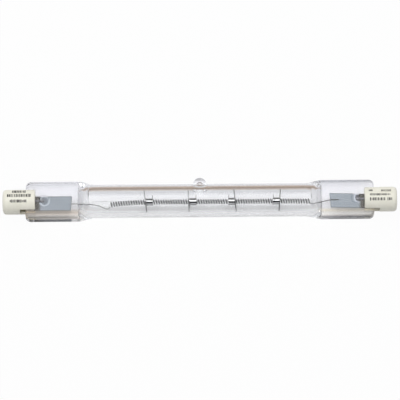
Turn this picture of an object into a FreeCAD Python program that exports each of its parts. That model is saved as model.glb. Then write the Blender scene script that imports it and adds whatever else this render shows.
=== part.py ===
import FreeCAD, Part
import math
import os

import Sketcher
from FreeCAD import Placement, Rotation, Vector

# Driving sizes, in millimetres and degrees. X runs along the lamp, Z is up and the origin
# is on the tube's axis, halfway along it. The two pinches are rolled about X by different
# angles, as pressing leaves them. W is the direction across a pinch and T is square to it.
SIZES = [
    ("overall_length", 117.6, "end to end over both caps"),
    ("tube_diameter", 10.0, "outside of the quartz tube"),
    ("tube_wall", 1.5, "wall of the quartz tube"),
    ("shoulder_length", 2.8, "from the round tube to the flat pinch"),
    ("pinch_length", 15.6, "flat pressed seal"),
    ("left_pinch_width", 12.3, "across the left pinch"),
    ("right_pinch_width", 11.7, "across the right pinch"),
    ("pinch_thickness", 3.3, "through the pinch"),
    ("pinch_edge_radius", 1.0, "rounding of the pinch's long edges"),
    ("pinch_corner_radius", 1.6, "plan radius of the pinch's outer corners"),
    ("left_roll_angle", 24.0, "roll of the left pinch, near edge up"),
    ("right_roll_angle", 15.0, "roll of the right pinch, near edge up"),
    ("seal_web", 0.5, "glass between the bore's end and the pinch's start"),
    ("bore_end_height", 0.8, "the bore's flattened end, through"),
    ("bore_taper", 2.3, "length over which the bore flattens"),
    ("dimple_diameter", 2.7, "round dent pressed in the front over the lead's weld"),
    ("dimple_depth", 0.2, "depth of that dent"),
    ("tip_reach", 7.6, "from the tube's axis to the top of the exhaust tip"),
    ("tip_diameter", 4.0, "exhaust tip's dome"),
    ("tip_flare", 0.6, "how far the tip widens at the tube"),
    ("tip_clearance", 0.2, "between the tip and the ground that the tube lies on"),
    ("funnel_mouth", 2.4, "the tip's sealed hole where it meets the bore"),
    ("funnel_tip", 1.0, "that hole where it is melted shut"),
    ("funnel_height", 2.3, "how far that hole reaches out from the bore"),
    ("cap_diameter", 7.4, "ceramic cap"),
    ("cap_length", 9.7, "ceramic cap, tongues included"),
    ("cap_rim_bevel", 0.5, "bevel round the cap's outer rim"),
    ("tongue_tip_bevel", 0.4, "bevel round the tongues' ends"),
    ("slot_depth", 4.6, "slot that takes the pinch"),
    ("slot_clearance", 0.15, "cement space on each face of the pinch"),
    ("cap_gap", 1.7, "between the pinch's end and the slot's floor"),
    ("cement_width", 4.6, "band of cement across the pinch"),
    ("cement_setback", 0.8, "from the tongues' ends to the cement"),
    ("recess_diameter", 4.0, "recess over the contact"),
    ("recess_depth", 1.7, "from the cap's end to the contact's face"),
    ("button_diameter", 3.6, "contact button"),
    ("button_thickness", 0.8, "contact button"),
    ("stem_diameter", 1.7, "contact's stem"),
    ("stem_length", 1.4, "contact's stem"),
    ("contact_clearance", 0.03, "round the contact in the cap's hole"),
    ("lead_diameter", 0.7, "outer lead"),
    ("lead_overlap", 3.1, "outer lead on the foil"),
    ("lead_clearance", 0.1, "round the lead in the cap's hole"),
    ("weld_press", 0.05, "how far the lead is pressed flat on the foil"),
    ("foil_length", 11.0, "sealing foil"),
    ("foil_width", 4.4, "sealing foil"),
    ("foil_thickness", 0.06, "sealing foil"),
    ("foil_inset", 2.2, "from the pinch's start to the foil"),
    ("left_foil_offset", 0.7, "left foil's middle, nearer than its pinch's"),
    ("right_foil_offset", 0.5, "right foil's middle, nearer than its pinch's"),
    ("wire_diameter", 0.3, "filament wire"),
    ("coil_diameter", 1.8, "filament coil over its wire"),
    ("coil_left_gap", 6.7, "from the round tube's left end to the coil"),
    ("coil_right_gap", 0.9, "from the coil to the round tube's right end"),
    ("coil_turns", 80, "turns of the coil"),
    ("coil_drop", 0.45, "coil's axis below the tube's axis in plan"),
    ("left_droop", 0.45, "further drop of the coil's left end"),
    ("right_droop", 0.15, "further drop of the coil's right end"),
    ("tail_overlap", 3.0, "filament's tail on the foil"),
    ("left_tail_offset", 0.9, "left tail, nearer than its pinch's middle"),
    ("right_tail_offset", 0.25, "right tail, nearer than its pinch's middle"),
    ("tail_straight", 1.3, "tail's straight length inside the bore"),
    ("tail_rise", 0.2, "how far the left tail arches up before its dip"),
    ("tail_dip", 0.5, "how far the left tail dips below the coil"),
    ("tail_dip_reach", 1.1, "from that dip to the coil"),
    ("support_wire", 0.24, "filament support's wire"),
    ("clamp_length", 2.4, "close turns on the filament"),
    ("clamp_turns", 7, "close turns on the filament"),
    ("clamp_clearance", 0.03, "between those turns and the filament"),
    ("ring_clearance", 0.05, "between the support's ring and the bore"),
    ("ring_length", 0.8, "how far the ring runs along the bore in its turn"),
    ("stub_length", 1.0, "cut end that stands out of the close turns"),
    ("support_1_share", 0.198, "first support's middle along the coil"),
    ("support_2_share", 0.416, "second support's middle along the coil"),
    ("support_3_share", 0.612, "third support's middle along the coil"),
    ("support_4_share", 0.836, "fourth support's middle along the coil"),
]

# Distances along the lamp and radii that follow from the sizes.
PLACES = [
    ("half_length", "Sizes.overall_length / 2"),
    ("cap_inner", "half_length - Sizes.cap_length"),
    ("slot_floor", "cap_inner + Sizes.slot_depth"),
    ("slot_width", "Sizes.pinch_thickness + 2 * Sizes.slot_clearance"),
    ("pinch_end", "slot_floor - Sizes.cap_gap"),
    ("pinch_start", "pinch_end - Sizes.pinch_length"),
    ("barrel_half", "pinch_start - Sizes.shoulder_length"),
    ("tube_radius", "Sizes.tube_diameter / 2"),
    ("bore_radius", "tube_radius - Sizes.tube_wall"),
    ("bore_end", "pinch_start - Sizes.seal_web"),
    ("bore_half", "bore_end - Sizes.bore_taper"),
    ("contact_face", "half_length - Sizes.recess_depth"),
    ("button_back", "contact_face - Sizes.button_thickness"),
    ("stem_end", "button_back - Sizes.stem_length"),
    ("foil_start", "pinch_start + Sizes.foil_inset"),
    ("foil_end", "foil_start + Sizes.foil_length"),
    ("lead_start", "foil_end - Sizes.lead_overlap"),
    ("lead_length", "stem_end - lead_start"),
    ("lead_height", "(Sizes.foil_thickness + Sizes.lead_diameter) / 2 - Sizes.weld_press"),
    ("tip_radius", "Sizes.tip_diameter / 2"),
    ("tip_centre", "Sizes.tip_reach - tip_radius"),
    ("tip_base_radius", "tip_radius + Sizes.tip_flare"),
    ("funnel_base", "bore_radius / 2"),
    ("coil_start", "Sizes.coil_left_gap - barrel_half"),
    ("coil_end", "barrel_half - Sizes.coil_right_gap"),
    ("coil_length", "coil_end - coil_start"),
    ("coil_pitch", "coil_length / Sizes.coil_turns"),
    ("support_1", "coil_start + coil_length * Sizes.support_1_share"),
    ("support_2", "coil_start + coil_length * Sizes.support_2_share"),
    ("support_3", "coil_start + coil_length * Sizes.support_3_share"),
    ("support_4", "coil_start + coil_length * Sizes.support_4_share"),
    ("cap_radius", "Sizes.cap_diameter / 2"),
    ("facet_share", "1 - sqrt(2) / 2"),
]

LEFT = -1
RIGHT = 1
SIDE_NAMES = {LEFT: "left", RIGHT: "right"}

# A fine wire is a square prism with mitred joints, which keeps the coil light.
WIRE_SIDES = 4
COIL_STEPS = 6
CLAMP_STEPS = 6
RING_STEPS = 16

# Angle that a side of a lofted section takes from each of its corners where it is round.
ROUND_SPREAD = 40.0
SHOULDER_SECTIONS = 3
TIP_STEPS = 3


def make_sheet(doc):
    """Makes the sheet of driving sizes, one named cell a row."""
    sheet = doc.addObject("Spreadsheet::Sheet", "Sizes")
    for row, (alias, value, meaning) in enumerate(SIZES, start=1):
        sheet.set(f"A{row}", meaning)
        sheet.set(f"B{row}", str(value))
        sheet.setAlias(f"B{row}", alias)
    doc.recompute()
    return sheet


def make_places(doc):
    """Makes the object that holds the distances worked out from the sheet."""
    places = doc.addObject("App::FeaturePython", "Places")
    for name, formula in PLACES:
        places.addProperty("App::PropertyFloat", name)
        places.setExpression(name, formula)
    doc.recompute()
    return places


class Lamp:
    """The document with its sizes and places, for the functions that build the pieces."""

    def __init__(self, doc):
        self.doc = doc
        self.sheet = make_sheet(doc)
        self.places = make_places(doc)

    def size(self, alias):
        return float(self.sheet.get(alias))

    def place(self, name):
        return float(getattr(self.places, name))

    def roll(self, side):
        return self.size(f"{SIDE_NAMES[side]}_roll_angle")

    def end_frame(self, side):
        """The frame of one end: X outwards along the lamp and Z square to the pinch.

        Its Y is W at the right end and against W at the left one.
        """
        if side == RIGHT:
            return Placement(Vector(), Rotation(Vector(1, 0, 0), -self.roll(side)))
        half_roll = math.radians(self.roll(side) / 2)
        axis = Vector(0, math.sin(half_roll), math.cos(half_roll))
        return Placement(Vector(), Rotation(axis, 180))

    def on_pinch(self, side, distance, across, through):
        """The point at that distance from mid-length, and across and through the pinch."""
        return self.end_frame(side).multVec(Vector(distance, side * across, through))


def add(lamp, kind, name, **bound):
    """Adds a Part object with each named property bound to a formula."""
    thing = lamp.doc.addObject(kind, name)
    for prop, formula in bound.items():
        thing.setExpression(prop, formula)
    return thing


def along_x(x, y=0.0, z=0.0):
    """Turns a primitive that stands on Z to lie along X, with its base at a point."""
    return Placement(Vector(x, y, z), Rotation(Vector(0, 1, 0), 90))


def new_sketch(body, name, role, offset=None):
    """Adds a sketch on one of the body's origin planes, moved out by a formula."""
    plane = next(f for f in body.Origin.OriginFeatures if f.Role == role)
    sketch = body.newObject("Sketcher::SketchObject", name)
    sketch.AttachmentSupport = (plane, [""])
    sketch.MapMode = "FlatFace"
    if offset:
        sketch.setExpression("AttachmentOffset.Base.z", offset)
    return sketch


def constrain(sketch, name, formula, *constraint):
    """Adds a named constraint whose value follows a formula."""
    index = sketch.addConstraint(Sketcher.Constraint(*constraint))
    sketch.renameConstraint(index, name)
    sketch.setExpression(f"Constraints.{name}", formula)


def circle_sketch(body, name, diameter, offset, height=None):
    """Adds a circle across X, on the axis or above it by a formula."""
    sketch = new_sketch(body, name, "YZ_Plane", offset)
    sketch.addGeometry(Part.Circle(Vector(0, 0.5 if height else 0, 0), Vector(0, 0, 1), 1))
    if height:
        sketch.addConstraint(Sketcher.Constraint("PointOnObject", 0, 3, -2))
        constrain(sketch, "height", height, "DistanceY", -1, 1, 0, 3, 0.5)
    else:
        sketch.addConstraint(Sketcher.Constraint("Coincident", 0, 3, -1, 1))
    constrain(sketch, "diameter", diameter, "Diameter", 0, 2)
    return sketch


def rectangle_sketch(body, name, width, height, offset):
    """Adds a rectangle across X, centred on the axis."""
    sketch = new_sketch(body, name, "YZ_Plane", offset)
    corners = [Vector(-2, -1, 0), Vector(2, -1, 0), Vector(2, 1, 0), Vector(-2, 1, 0)]
    for start, end in zip(corners, corners[1:] + corners[:1]):
        sketch.addGeometry(Part.LineSegment(start, end))
    for line in range(4):
        sketch.addConstraint(Sketcher.Constraint("Coincident", line, 2, (line + 1) % 4, 1))
        sketch.addConstraint(Sketcher.Constraint("Vertical" if line % 2 else "Horizontal", line))
    sketch.addConstraint(Sketcher.Constraint("Symmetric", 0, 1, 2, 1, -1, 1))
    constrain(sketch, "width", width, "DistanceX", 0, 1, 0, 2, 4)
    constrain(sketch, "height", height, "DistanceY", 1, 1, 1, 2, 2)
    return sketch


def profile_sketch(body, name, corners):
    """Adds a closed profile on X, each corner given by formulas for X and radius.

    Its first and last corners lie on X.
    """
    sketch = new_sketch(body, name, "XZ_Plane")
    count = len(corners)
    start = [Vector(1 + i, 1 + i % 2, 0) for i in range(count)]
    start[0].y = start[-1].y = 0
    for i in range(count):
        sketch.addGeometry(Part.LineSegment(start[i], start[(i + 1) % count]))
    for i in range(count):
        sketch.addConstraint(Sketcher.Constraint("Coincident", i, 2, (i + 1) % count, 1))
    for i, (along, radius) in enumerate(corners):
        constrain(sketch, f"along_{i}", along, "DistanceX", -1, 1, i, 1, start[i].x)
        if radius == "0":
            sketch.addConstraint(Sketcher.Constraint("PointOnObject", i, 1, -1))
        else:
            constrain(sketch, f"radius_{i}", radius, "DistanceY", -1, 1, i, 1, start[i].y)
    return sketch


def pocket(body, name, sketch, length):
    """Cuts from the sketch towards the lamp's middle."""
    feature = body.newObject("PartDesign::Pocket", name)
    feature.Profile = sketch
    feature.setExpression("Length", length)
    return feature


def revolve(body, name, sketch):
    """Revolves a profile about the body's X axis."""
    feature = body.newObject("PartDesign::Revolution", name)
    feature.Profile = sketch
    feature.ReferenceAxis = (next(f for f in body.Origin.OriginFeatures if f.Role == "X_Axis"), [""])
    feature.Angle = 360
    return feature


def section(x, half_width, half_height, corner, spread):
    """A closed wire across X of four corners and the four sides between them.

    With no spread it is a rounded rectangle. Where the corners are as large as the
    section it is a circle, and the spread then leaves each side its share of it.
    """
    middles = [(0, half_height), (-half_width, 0), (0, -half_height), (half_width, 0)]

    def on_corner(quarter, angle):
        turn = math.radians(90 * quarter + angle)
        centre_y = (half_width - corner) * (1 if quarter in (0, 3) else -1)
        centre_z = (half_height - corner) * (1 if quarter in (0, 1) else -1)
        return Vector(x, centre_y + corner * math.cos(turn), centre_z + corner * math.sin(turn))

    edges = []
    for quarter in range(4):
        start, end = on_corner(quarter, spread), on_corner(quarter, 90 - spread)
        following = on_corner((quarter + 1) % 4, spread)
        edges.append(Part.Arc(start, on_corner(quarter, 45), end).toShape())
        if spread:
            edges.append(Part.Arc(end, Vector(x, *middles[quarter]), following).toShape())
        else:
            edges.append(Part.LineSegment(end, following).toShape())
    return Part.Wire(edges)


def feature_of(lamp, name, shape, placement=None):
    """Adds a Part::Feature that holds a worked-out shape."""
    feature = lamp.doc.addObject("Part::Feature", name)
    feature.Shape = shape
    if placement:
        feature.Placement = placement
    return feature


def fuse(lamp, name, pieces):
    result = lamp.doc.addObject("Part::MultiFuse", name)
    result.Shapes = pieces
    return result


def cut(lamp, name, base, tool):
    result = lamp.doc.addObject("Part::Cut", name)
    result.Base = base
    result.Tool = tool
    return result


def wire_half(diameter):
    """From the middle to a flat of the prism that has a round wire's area."""
    return diameter / 2 * math.sqrt(math.pi / WIRE_SIDES / math.tan(math.pi / WIRE_SIDES))


def wire_reach(diameter):
    """From the middle to a corner of that prism."""
    return wire_half(diameter) / math.cos(math.pi / WIRE_SIDES)


def mitred_rings(points, diameter, first_up):
    """The wire's corners at each point, with a flat square to first_up at the start."""
    directions = [(b - a).normalize() for a, b in zip(points, points[1:])]
    side = directions[0].cross(first_up).normalize()
    up = side.cross(directions[0])
    reach = wire_reach(diameter)
    turns = [2 * math.pi * (i + 0.5) / WIRE_SIDES for i in range(WIRE_SIDES)]
    ring = [points[0] + up * (reach * math.cos(a)) + side * (reach * math.sin(a)) for a in turns]
    rings = [ring]
    for i, direction in enumerate(directions):
        following = directions[i + 1] if i + 1 < len(directions) else direction
        mitre = direction + following
        spot = points[i + 1]
        ring = [p + direction * ((spot - p).dot(mitre) / direction.dot(mitre)) for p in ring]
        rings.append(ring)
    return rings


def ringed_solid(rings):
    """The solid wire through such rings."""
    faces = [Part.Face(Part.makePolygon(end + end[:1])) for end in (rings[0], rings[-1])]
    for near, far in zip(rings, rings[1:]):
        for i in range(WIRE_SIDES):
            j = (i + 1) % WIRE_SIDES
            faces.append(Part.Face(Part.makePolygon([near[i], near[j], far[j], far[i], near[i]])))
    solid = Part.Solid(Part.Shell(faces))
    if solid.Volume < 0:
        solid.reverse()
    return solid


def shoulder_sections(lamp, width):
    """The sections that blend the round tube into the flat pinch."""
    start, length = lamp.place("barrel_half"), lamp.size("shoulder_length")
    tube = lamp.place("tube_radius")
    flat = [width, lamp.size("pinch_thickness") / 2, lamp.size("pinch_edge_radius")]
    sections = []
    for step in range(SHOULDER_SECTIONS):
        share = step / (SHOULDER_SECTIONS - 1)
        blend = share * share * (3 - 2 * share)
        sizes = [tube + blend * (size - tube) for size in flat]
        sections.append(section(start + share * length, *sizes, ROUND_SPREAD * (1 - blend)))
    return sections


def make_pinched_end(lamp, side):
    """The shoulder and the flat seal of one end, whose outer corners are rounded by two flats."""
    name = SIDE_NAMES[side]
    end, corner = lamp.place("pinch_end"), lamp.size("pinch_corner_radius")
    width, height = lamp.size(f"{name}_pinch_width") / 2, lamp.size("pinch_thickness") / 2
    edge, facet = lamp.size("pinch_edge_radius"), lamp.place("facet_share")
    sections = shoulder_sections(lamp, width)
    for back, narrowed in ((1, 0), (facet, facet), (0, 1)):
        sections.append(section(end - back * corner, width - narrowed * corner, height, edge, 0))
    shape = Part.makeLoft(sections, True, True)
    return feature_of(lamp, f"{name}_pinched_end", shape, lamp.end_frame(side))


def make_bore_end(lamp, side):
    """The hollow's end, which the press flattens to a slit as wide as the bore."""
    name = SIDE_NAMES[side]
    rod = add(
        lamp, "Part::Cylinder", f"{name}_bore_end_rod",
        Radius="Places.bore_radius", Height="Sizes.bore_taper",
    )
    rod.Placement = lamp.end_frame(side) * along_x(lamp.place("bore_half"))
    wedge = add(
        lamp, "Part::Wedge", f"{name}_bore_end_wedge",
        Ymin="Places.bore_half", Ymax="Places.bore_end",
        Xmin="-Sizes.tube_diameter", Xmax="Sizes.tube_diameter",
        X2min="-Sizes.tube_diameter", X2max="Sizes.tube_diameter",
        Zmin="-Places.bore_radius", Zmax="Places.bore_radius",
        Z2min="-Sizes.bore_end_height / 2", Z2max="Sizes.bore_end_height / 2",
    )
    wedge.Placement = lamp.end_frame(side) * Placement(Vector(), Rotation(Vector(0, 0, 1), -90))
    flattened = lamp.doc.addObject("Part::Common", f"{name}_bore_end")
    flattened.Base = rod
    flattened.Tool = wedge
    return flattened


def tip_frame(lamp):
    """The exhaust tip's frame: X out of the tube, turned down until it is close to the ground.

    The ground is the plane that the tube lies on.
    """
    drop = lamp.place("tube_radius") - lamp.place("tip_radius") - lamp.size("tip_clearance")
    below = math.degrees(math.asin(drop / lamp.place("tip_centre")))
    return Placement(Vector(), Rotation(Vector(0, 0, 1), 90)) * Placement(
        Vector(), Rotation(Vector(0, 1, 0), below)
    )


def make_tip(lamp):
    """The stub where the tube was filled and melted shut: a flared collar under a dome."""
    body = lamp.doc.addObject("PartDesign::Body", "exhaust_tip")
    corners = [("Places.bore_radius", "0"), ("Places.bore_radius", "Places.tip_base_radius")]
    for step in range(TIP_STEPS):
        angle = 90 * step / TIP_STEPS
        corners.append((
            f"Places.tip_centre + Places.tip_radius * sin({angle} deg)",
            f"Places.tip_radius * cos({angle} deg)",
        ))
    corners.append(("Sizes.tip_reach", "0"))
    revolve(body, "tip_turned", profile_sketch(body, "tip_profile", corners))
    body.Placement = tip_frame(lamp)
    return body


def make_hollow(lamp):
    """The sealed space inside the glass."""
    bore = add(
        lamp, "Part::Cylinder", "bore",
        Radius="Places.bore_radius", Height="2 * Places.bore_half",
    )
    bore.Placement = along_x(-lamp.place("bore_half"))
    funnel = add(
        lamp, "Part::Cone", "tip_funnel",
        Radius1="Sizes.funnel_mouth / 2", Radius2="Sizes.funnel_tip / 2",
        Height="Places.bore_radius + Sizes.funnel_height - Places.funnel_base",
    )
    funnel.Placement = tip_frame(lamp) * along_x(lamp.place("funnel_base"))
    ends = [make_bore_end(lamp, side) for side in (LEFT, RIGHT)]
    return fuse(lamp, "hollow", [bore, funnel, *ends])


def make_dimple(lamp, side):
    """The punch that presses the round dent into the front of a pinch."""
    punch = add(
        lamp, "Part::Cylinder", f"{SIDE_NAMES[side]}_dimple",
        Radius="Sizes.dimple_diameter / 2", Height="Sizes.dimple_depth",
    )
    floor = lamp.size("pinch_thickness") / 2 - lamp.size("dimple_depth")
    spot = Vector(lamp.place("lead_start"), 0, floor)
    punch.Placement = lamp.end_frame(side) * Placement(spot, Rotation())
    return punch


def make_foil(lamp, side):
    name = SIDE_NAMES[side]
    foil = add(
        lamp, "Part::Box", f"{name}_foil",
        Length="Sizes.foil_length", Width="Sizes.foil_width", Height="Sizes.foil_thickness",
    )
    low = -side * lamp.size(f"{name}_foil_offset") - lamp.size("foil_width") / 2
    corner = Vector(lamp.place("foil_start"), low, -lamp.size("foil_thickness") / 2)
    foil.Placement = lamp.end_frame(side) * Placement(corner, Rotation())
    return foil


def make_outer_lead(lamp, side, foil):
    """The straight lead from the contact to the foil, flat where it is welded."""
    name = SIDE_NAMES[side]
    rod = add(
        lamp, "Part::Cylinder", f"{name}_lead_rod",
        Radius="Sizes.lead_diameter / 2", Height="Places.lead_length",
    )
    rod.Placement = lamp.end_frame(side) * along_x(
        lamp.place("lead_start"), z=lamp.place("lead_height")
    )
    return cut(lamp, f"{name}_outer_lead", rod, foil)


def tail_line(lamp, side):
    """The filament tail's straight run, from its end on the foil to inside the bore."""
    across = -lamp.size(f"{SIDE_NAMES[side]}_tail_offset")
    height = lamp.size("foil_thickness") / 2 + wire_half(lamp.size("wire_diameter"))
    outer = lamp.place("foil_start") + lamp.size("tail_overlap")
    inner = lamp.place("bore_end") - lamp.size("tail_straight")
    return [lamp.on_pinch(side, x, across, height) for x in (outer, inner)]


def pinch_up(lamp, side):
    """The direction square to the pinch."""
    return lamp.end_frame(side).Rotation.multVec(Vector(0, 0, 1))


def make_envelope(lamp, sealed):
    """The quartz tube with its pinches and exhaust tip, hollow, and fitted round what it seals."""
    barrel = add(
        lamp, "Part::Cylinder", "barrel",
        Radius="Places.tube_radius", Height="2 * Places.barrel_half",
    )
    barrel.Placement = along_x(-lamp.place("barrel_half"))
    ends = []
    dimples = []
    for side in (LEFT, RIGHT):
        ends.append(make_pinched_end(lamp, side))
        dimples.append(make_dimple(lamp, side))
    glass = fuse(lamp, "glass", [barrel, make_tip(lamp), *ends])
    shell = cut(lamp, "glass_shell", glass, make_hollow(lamp))
    tools = fuse(lamp, "sealed_spaces", sealed + dimples)
    return cut(lamp, "quartz_envelope", shell, tools)


def coil_axis(lamp, x):
    """The coil's axis at X: it hangs a little lower beyond the outer supports."""
    left, right = lamp.place("support_1"), lamp.place("support_4")
    start, end = lamp.place("coil_start"), lamp.place("coil_end")
    drop = lamp.size("coil_drop")
    if x < left:
        drop += lamp.size("left_droop") * ((left - x) / (left - start)) ** 2
    if x > right:
        drop += lamp.size("right_droop") * ((x - right) / (end - right)) ** 2
    return Vector(x, -drop, 0)


def coil_points(lamp):
    """The corners of the filament's coil, which starts and ends at its near side."""
    radius = (lamp.size("coil_diameter") - lamp.size("wire_diameter")) / 2
    points = []
    for step in range(int(COIL_STEPS * lamp.size("coil_turns")) + 1):
        x = lamp.place("coil_start") + lamp.place("coil_pitch") * step / COIL_STEPS
        turn = math.pi + 2 * math.pi * step / COIL_STEPS
        points.append(coil_axis(lamp, x) + Vector(0, radius * math.cos(turn), radius * math.sin(turn)))
    return points


def make_filament(lamp, foils):
    """One wire, a coil with two tails pressed flat on the foils, and each tail's own space."""
    coil = coil_points(lamp)
    left_outer, left_inner = tail_line(lamp, LEFT)
    right_outer, right_inner = tail_line(lamp, RIGHT)
    arch = (left_inner + coil[0]) / 2 + Vector(0, lamp.size("tail_rise"), 0)
    dip = coil[0] - Vector(lamp.size("tail_dip_reach"), lamp.size("tail_dip"), 0)
    points = [left_outer, left_inner, arch, dip, *coil, right_inner, right_outer]
    rings = mitred_rings(points, lamp.size("wire_diameter"), pinch_up(lamp, LEFT))
    wire = feature_of(lamp, "filament_wire", ringed_solid(rings))
    spaces = [
        feature_of(lamp, "left_tail_space", ringed_solid(rings[:2])),
        feature_of(lamp, "right_tail_space", ringed_solid(rings[-2:])),
    ]
    return cut(lamp, "filament", wire, fuse(lamp, "foils", foils)), spaces


def support_points(lamp, middle, ring_side):
    """The corners of a support: cut end, close turns, a widening half turn and the ring."""
    wire = lamp.size("support_wire")
    clamp = lamp.size("coil_diameter") / 2 + lamp.size("clamp_clearance") + wire_reach(wire)
    clamp /= math.cos(math.pi / CLAMP_STEPS)
    ring = lamp.place("bore_radius") - lamp.size("ring_clearance") - wire / 2
    turns, length = lamp.size("clamp_turns"), lamp.size("clamp_length") - wire
    pitch = length / turns
    centre = coil_axis(lamp, middle)

    def spot(turn, radius, along, towards_axis):
        angle = math.pi / 2 + 2 * math.pi * turn
        y = centre.y * (1 - towards_axis) + radius * math.cos(angle)
        return Vector(middle + ring_side * along, y, radius * math.sin(angle))

    points = [spot(0, clamp + lamp.size("stub_length"), -length / 2, 0)]
    for step in range(int(CLAMP_STEPS * turns) + 1):
        turn = step / CLAMP_STEPS
        points.append(spot(turn, clamp, -length / 2 + pitch * turn, 0))
    flare_steps = RING_STEPS // 2
    for step in range(1, flare_steps + 1):
        share = step / flare_steps
        radius = clamp + share * (ring - clamp)
        points.append(spot(turns + share / 2, radius, length / 2 + pitch * share, share))
    for step in range(1, RING_STEPS + 1):
        share = step / RING_STEPS
        along = length / 2 + pitch + lamp.size("ring_length") * share
        points.append(spot(turns + 0.5 + share, ring, along, 1))
    return points


def make_support(lamp, number, ring_side):
    """A wire wound on the filament, whose wide last turn springs against the bore."""
    points = support_points(lamp, lamp.place(f"support_{number}"), ring_side)
    rings = mitred_rings(points, lamp.size("support_wire"), Vector(1, 0, 0))
    return feature_of(lamp, f"filament_support_{number}", ringed_solid(rings))


def make_cap(lamp, side):
    """The ceramic cap: a bevelled round block, slotted right across, with a stepped hole."""
    name = SIDE_NAMES[side]
    body = lamp.doc.addObject("PartDesign::Body", f"{name}_cap")
    corners = [
        ("Places.cap_inner", "0"),
        ("Places.cap_inner", "Places.cap_radius - Sizes.tongue_tip_bevel"),
        ("Places.cap_inner + Sizes.tongue_tip_bevel", "Places.cap_radius"),
        ("Places.half_length - Sizes.cap_rim_bevel", "Places.cap_radius"),
        ("Places.half_length", "Places.cap_radius - Sizes.cap_rim_bevel"),
        ("Places.half_length", "0"),
    ]
    revolve(body, f"{name}_cap_block", profile_sketch(body, f"{name}_cap_profile", corners))
    slot_face = rectangle_sketch(
        body, f"{name}_slot_face", "Sizes.cap_diameter * 2", "Places.slot_width", "Places.slot_floor"
    )
    pocket(body, f"{name}_slot", slot_face, "Sizes.slot_depth")
    steps = [
        ("recess", "Sizes.recess_diameter", "Places.half_length", "Sizes.recess_depth"),
        ("seat", "Sizes.button_diameter + 2 * Sizes.contact_clearance", "Places.contact_face",
         "Sizes.button_thickness"),
        ("stem_hole", "Sizes.stem_diameter + 2 * Sizes.contact_clearance", "Places.button_back",
         "Sizes.stem_length"),
    ]
    for step, diameter, outer, depth in steps:
        mouth = circle_sketch(body, f"{name}_{step}_face", diameter, outer)
        pocket(body, f"{name}_{step}", mouth, depth)
    hole_face = circle_sketch(
        body, f"{name}_lead_hole_face", "Sizes.lead_diameter + 2 * Sizes.lead_clearance",
        "Places.stem_end", "Places.lead_height",
    )
    pocket(body, f"{name}_lead_hole", hole_face, "Places.stem_end - Places.slot_floor")
    body.Placement = lamp.end_frame(side)
    return body


def make_contact(lamp, side):
    """The metal button at the bottom of the cap's recess, with its stem."""
    name = SIDE_NAMES[side]
    body = lamp.doc.addObject("PartDesign::Body", f"{name}_contact")
    corners = [
        ("Places.stem_end", "0"),
        ("Places.stem_end", "Sizes.stem_diameter / 2"),
        ("Places.button_back", "Sizes.stem_diameter / 2"),
        ("Places.button_back", "Sizes.button_diameter / 2"),
        ("Places.contact_face", "Sizes.button_diameter / 2"),
        ("Places.contact_face", "0"),
    ]
    revolve(body, f"{name}_contact_turned", profile_sketch(body, f"{name}_contact_profile", corners))
    body.Placement = lamp.end_frame(side)
    return body


def make_cement(lamp, side, pinch, lead):
    """The cement that holds the pinch in the cap's slot."""
    name = SIDE_NAMES[side]
    block = add(
        lamp, "Part::Box", f"{name}_cement_block",
        Length="Sizes.slot_depth - Sizes.cement_setback", Width="Sizes.cement_width",
        Height="Places.slot_width",
    )
    corner = Vector(
        lamp.place("cap_inner") + lamp.size("cement_setback"),
        -lamp.size("cement_width") / 2,
        -lamp.place("slot_width") / 2,
    )
    block.Placement = lamp.end_frame(side) * Placement(corner, Rotation())
    seat = fuse(lamp, f"{name}_cement_seat", [pinch, lead])
    return cut(lamp, f"{name}_cement", block, seat)


def check(doc, nodes):
    """Stops the script if an object failed or a piece isn't one valid solid."""
    for thing in doc.Objects:
        if {"Invalid", "Error"} & set(thing.State):
            raise RuntimeError(f"{thing.Name} failed: {thing.State}")
    for node in nodes:
        if node.Shape.isNull() or not node.Shape.isValid():
            raise RuntimeError(f"{node.Label} has no valid shape")
        if len(node.Shape.Solids) != 1:
            raise RuntimeError(f"{node.Label} has {len(node.Shape.Solids)} solids")


def main():
    doc = FreeCAD.newDocument("lamp")
    lamp = Lamp(doc)
    foils = {side: make_foil(lamp, side) for side in (LEFT, RIGHT)}
    leads = {side: make_outer_lead(lamp, side, foils[side]) for side in (LEFT, RIGHT)}
    filament, tail_spaces = make_filament(lamp, list(foils.values()))
    nodes = [filament, *foils.values(), *leads.values()]
    for number, ring_side in ((1, LEFT), (2, LEFT), (3, RIGHT), (4, RIGHT)):
        nodes.append(make_support(lamp, number, ring_side))
    nodes.append(make_envelope(lamp, [*foils.values(), *leads.values(), *tail_spaces]))
    for side in (LEFT, RIGHT):
        pinch = doc.getObject(f"{SIDE_NAMES[side]}_pinched_end")
        nodes += [make_cap(lamp, side), make_contact(lamp, side)]
        nodes.append(make_cement(lamp, side, pinch, leads[side]))
    doc.recompute()
    check(doc, nodes)
    os.makedirs("parts", exist_ok=True)
    for node in nodes:
        node.Shape.exportStep(f"parts/{node.Label}.step")
        print(f"{node.Label}: {node.Shape.Volume:.3f} mm3, {len(node.Shape.Faces)} faces")


main()
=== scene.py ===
"""A linear halogen lamp: a clear quartz tube with a filament, pinch seals and ceramic caps."""

from __future__ import annotations

import logging
import math
from dataclasses import dataclass
from enum import Enum
from functools import cached_property
from typing import Any, Callable, Sequence

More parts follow.
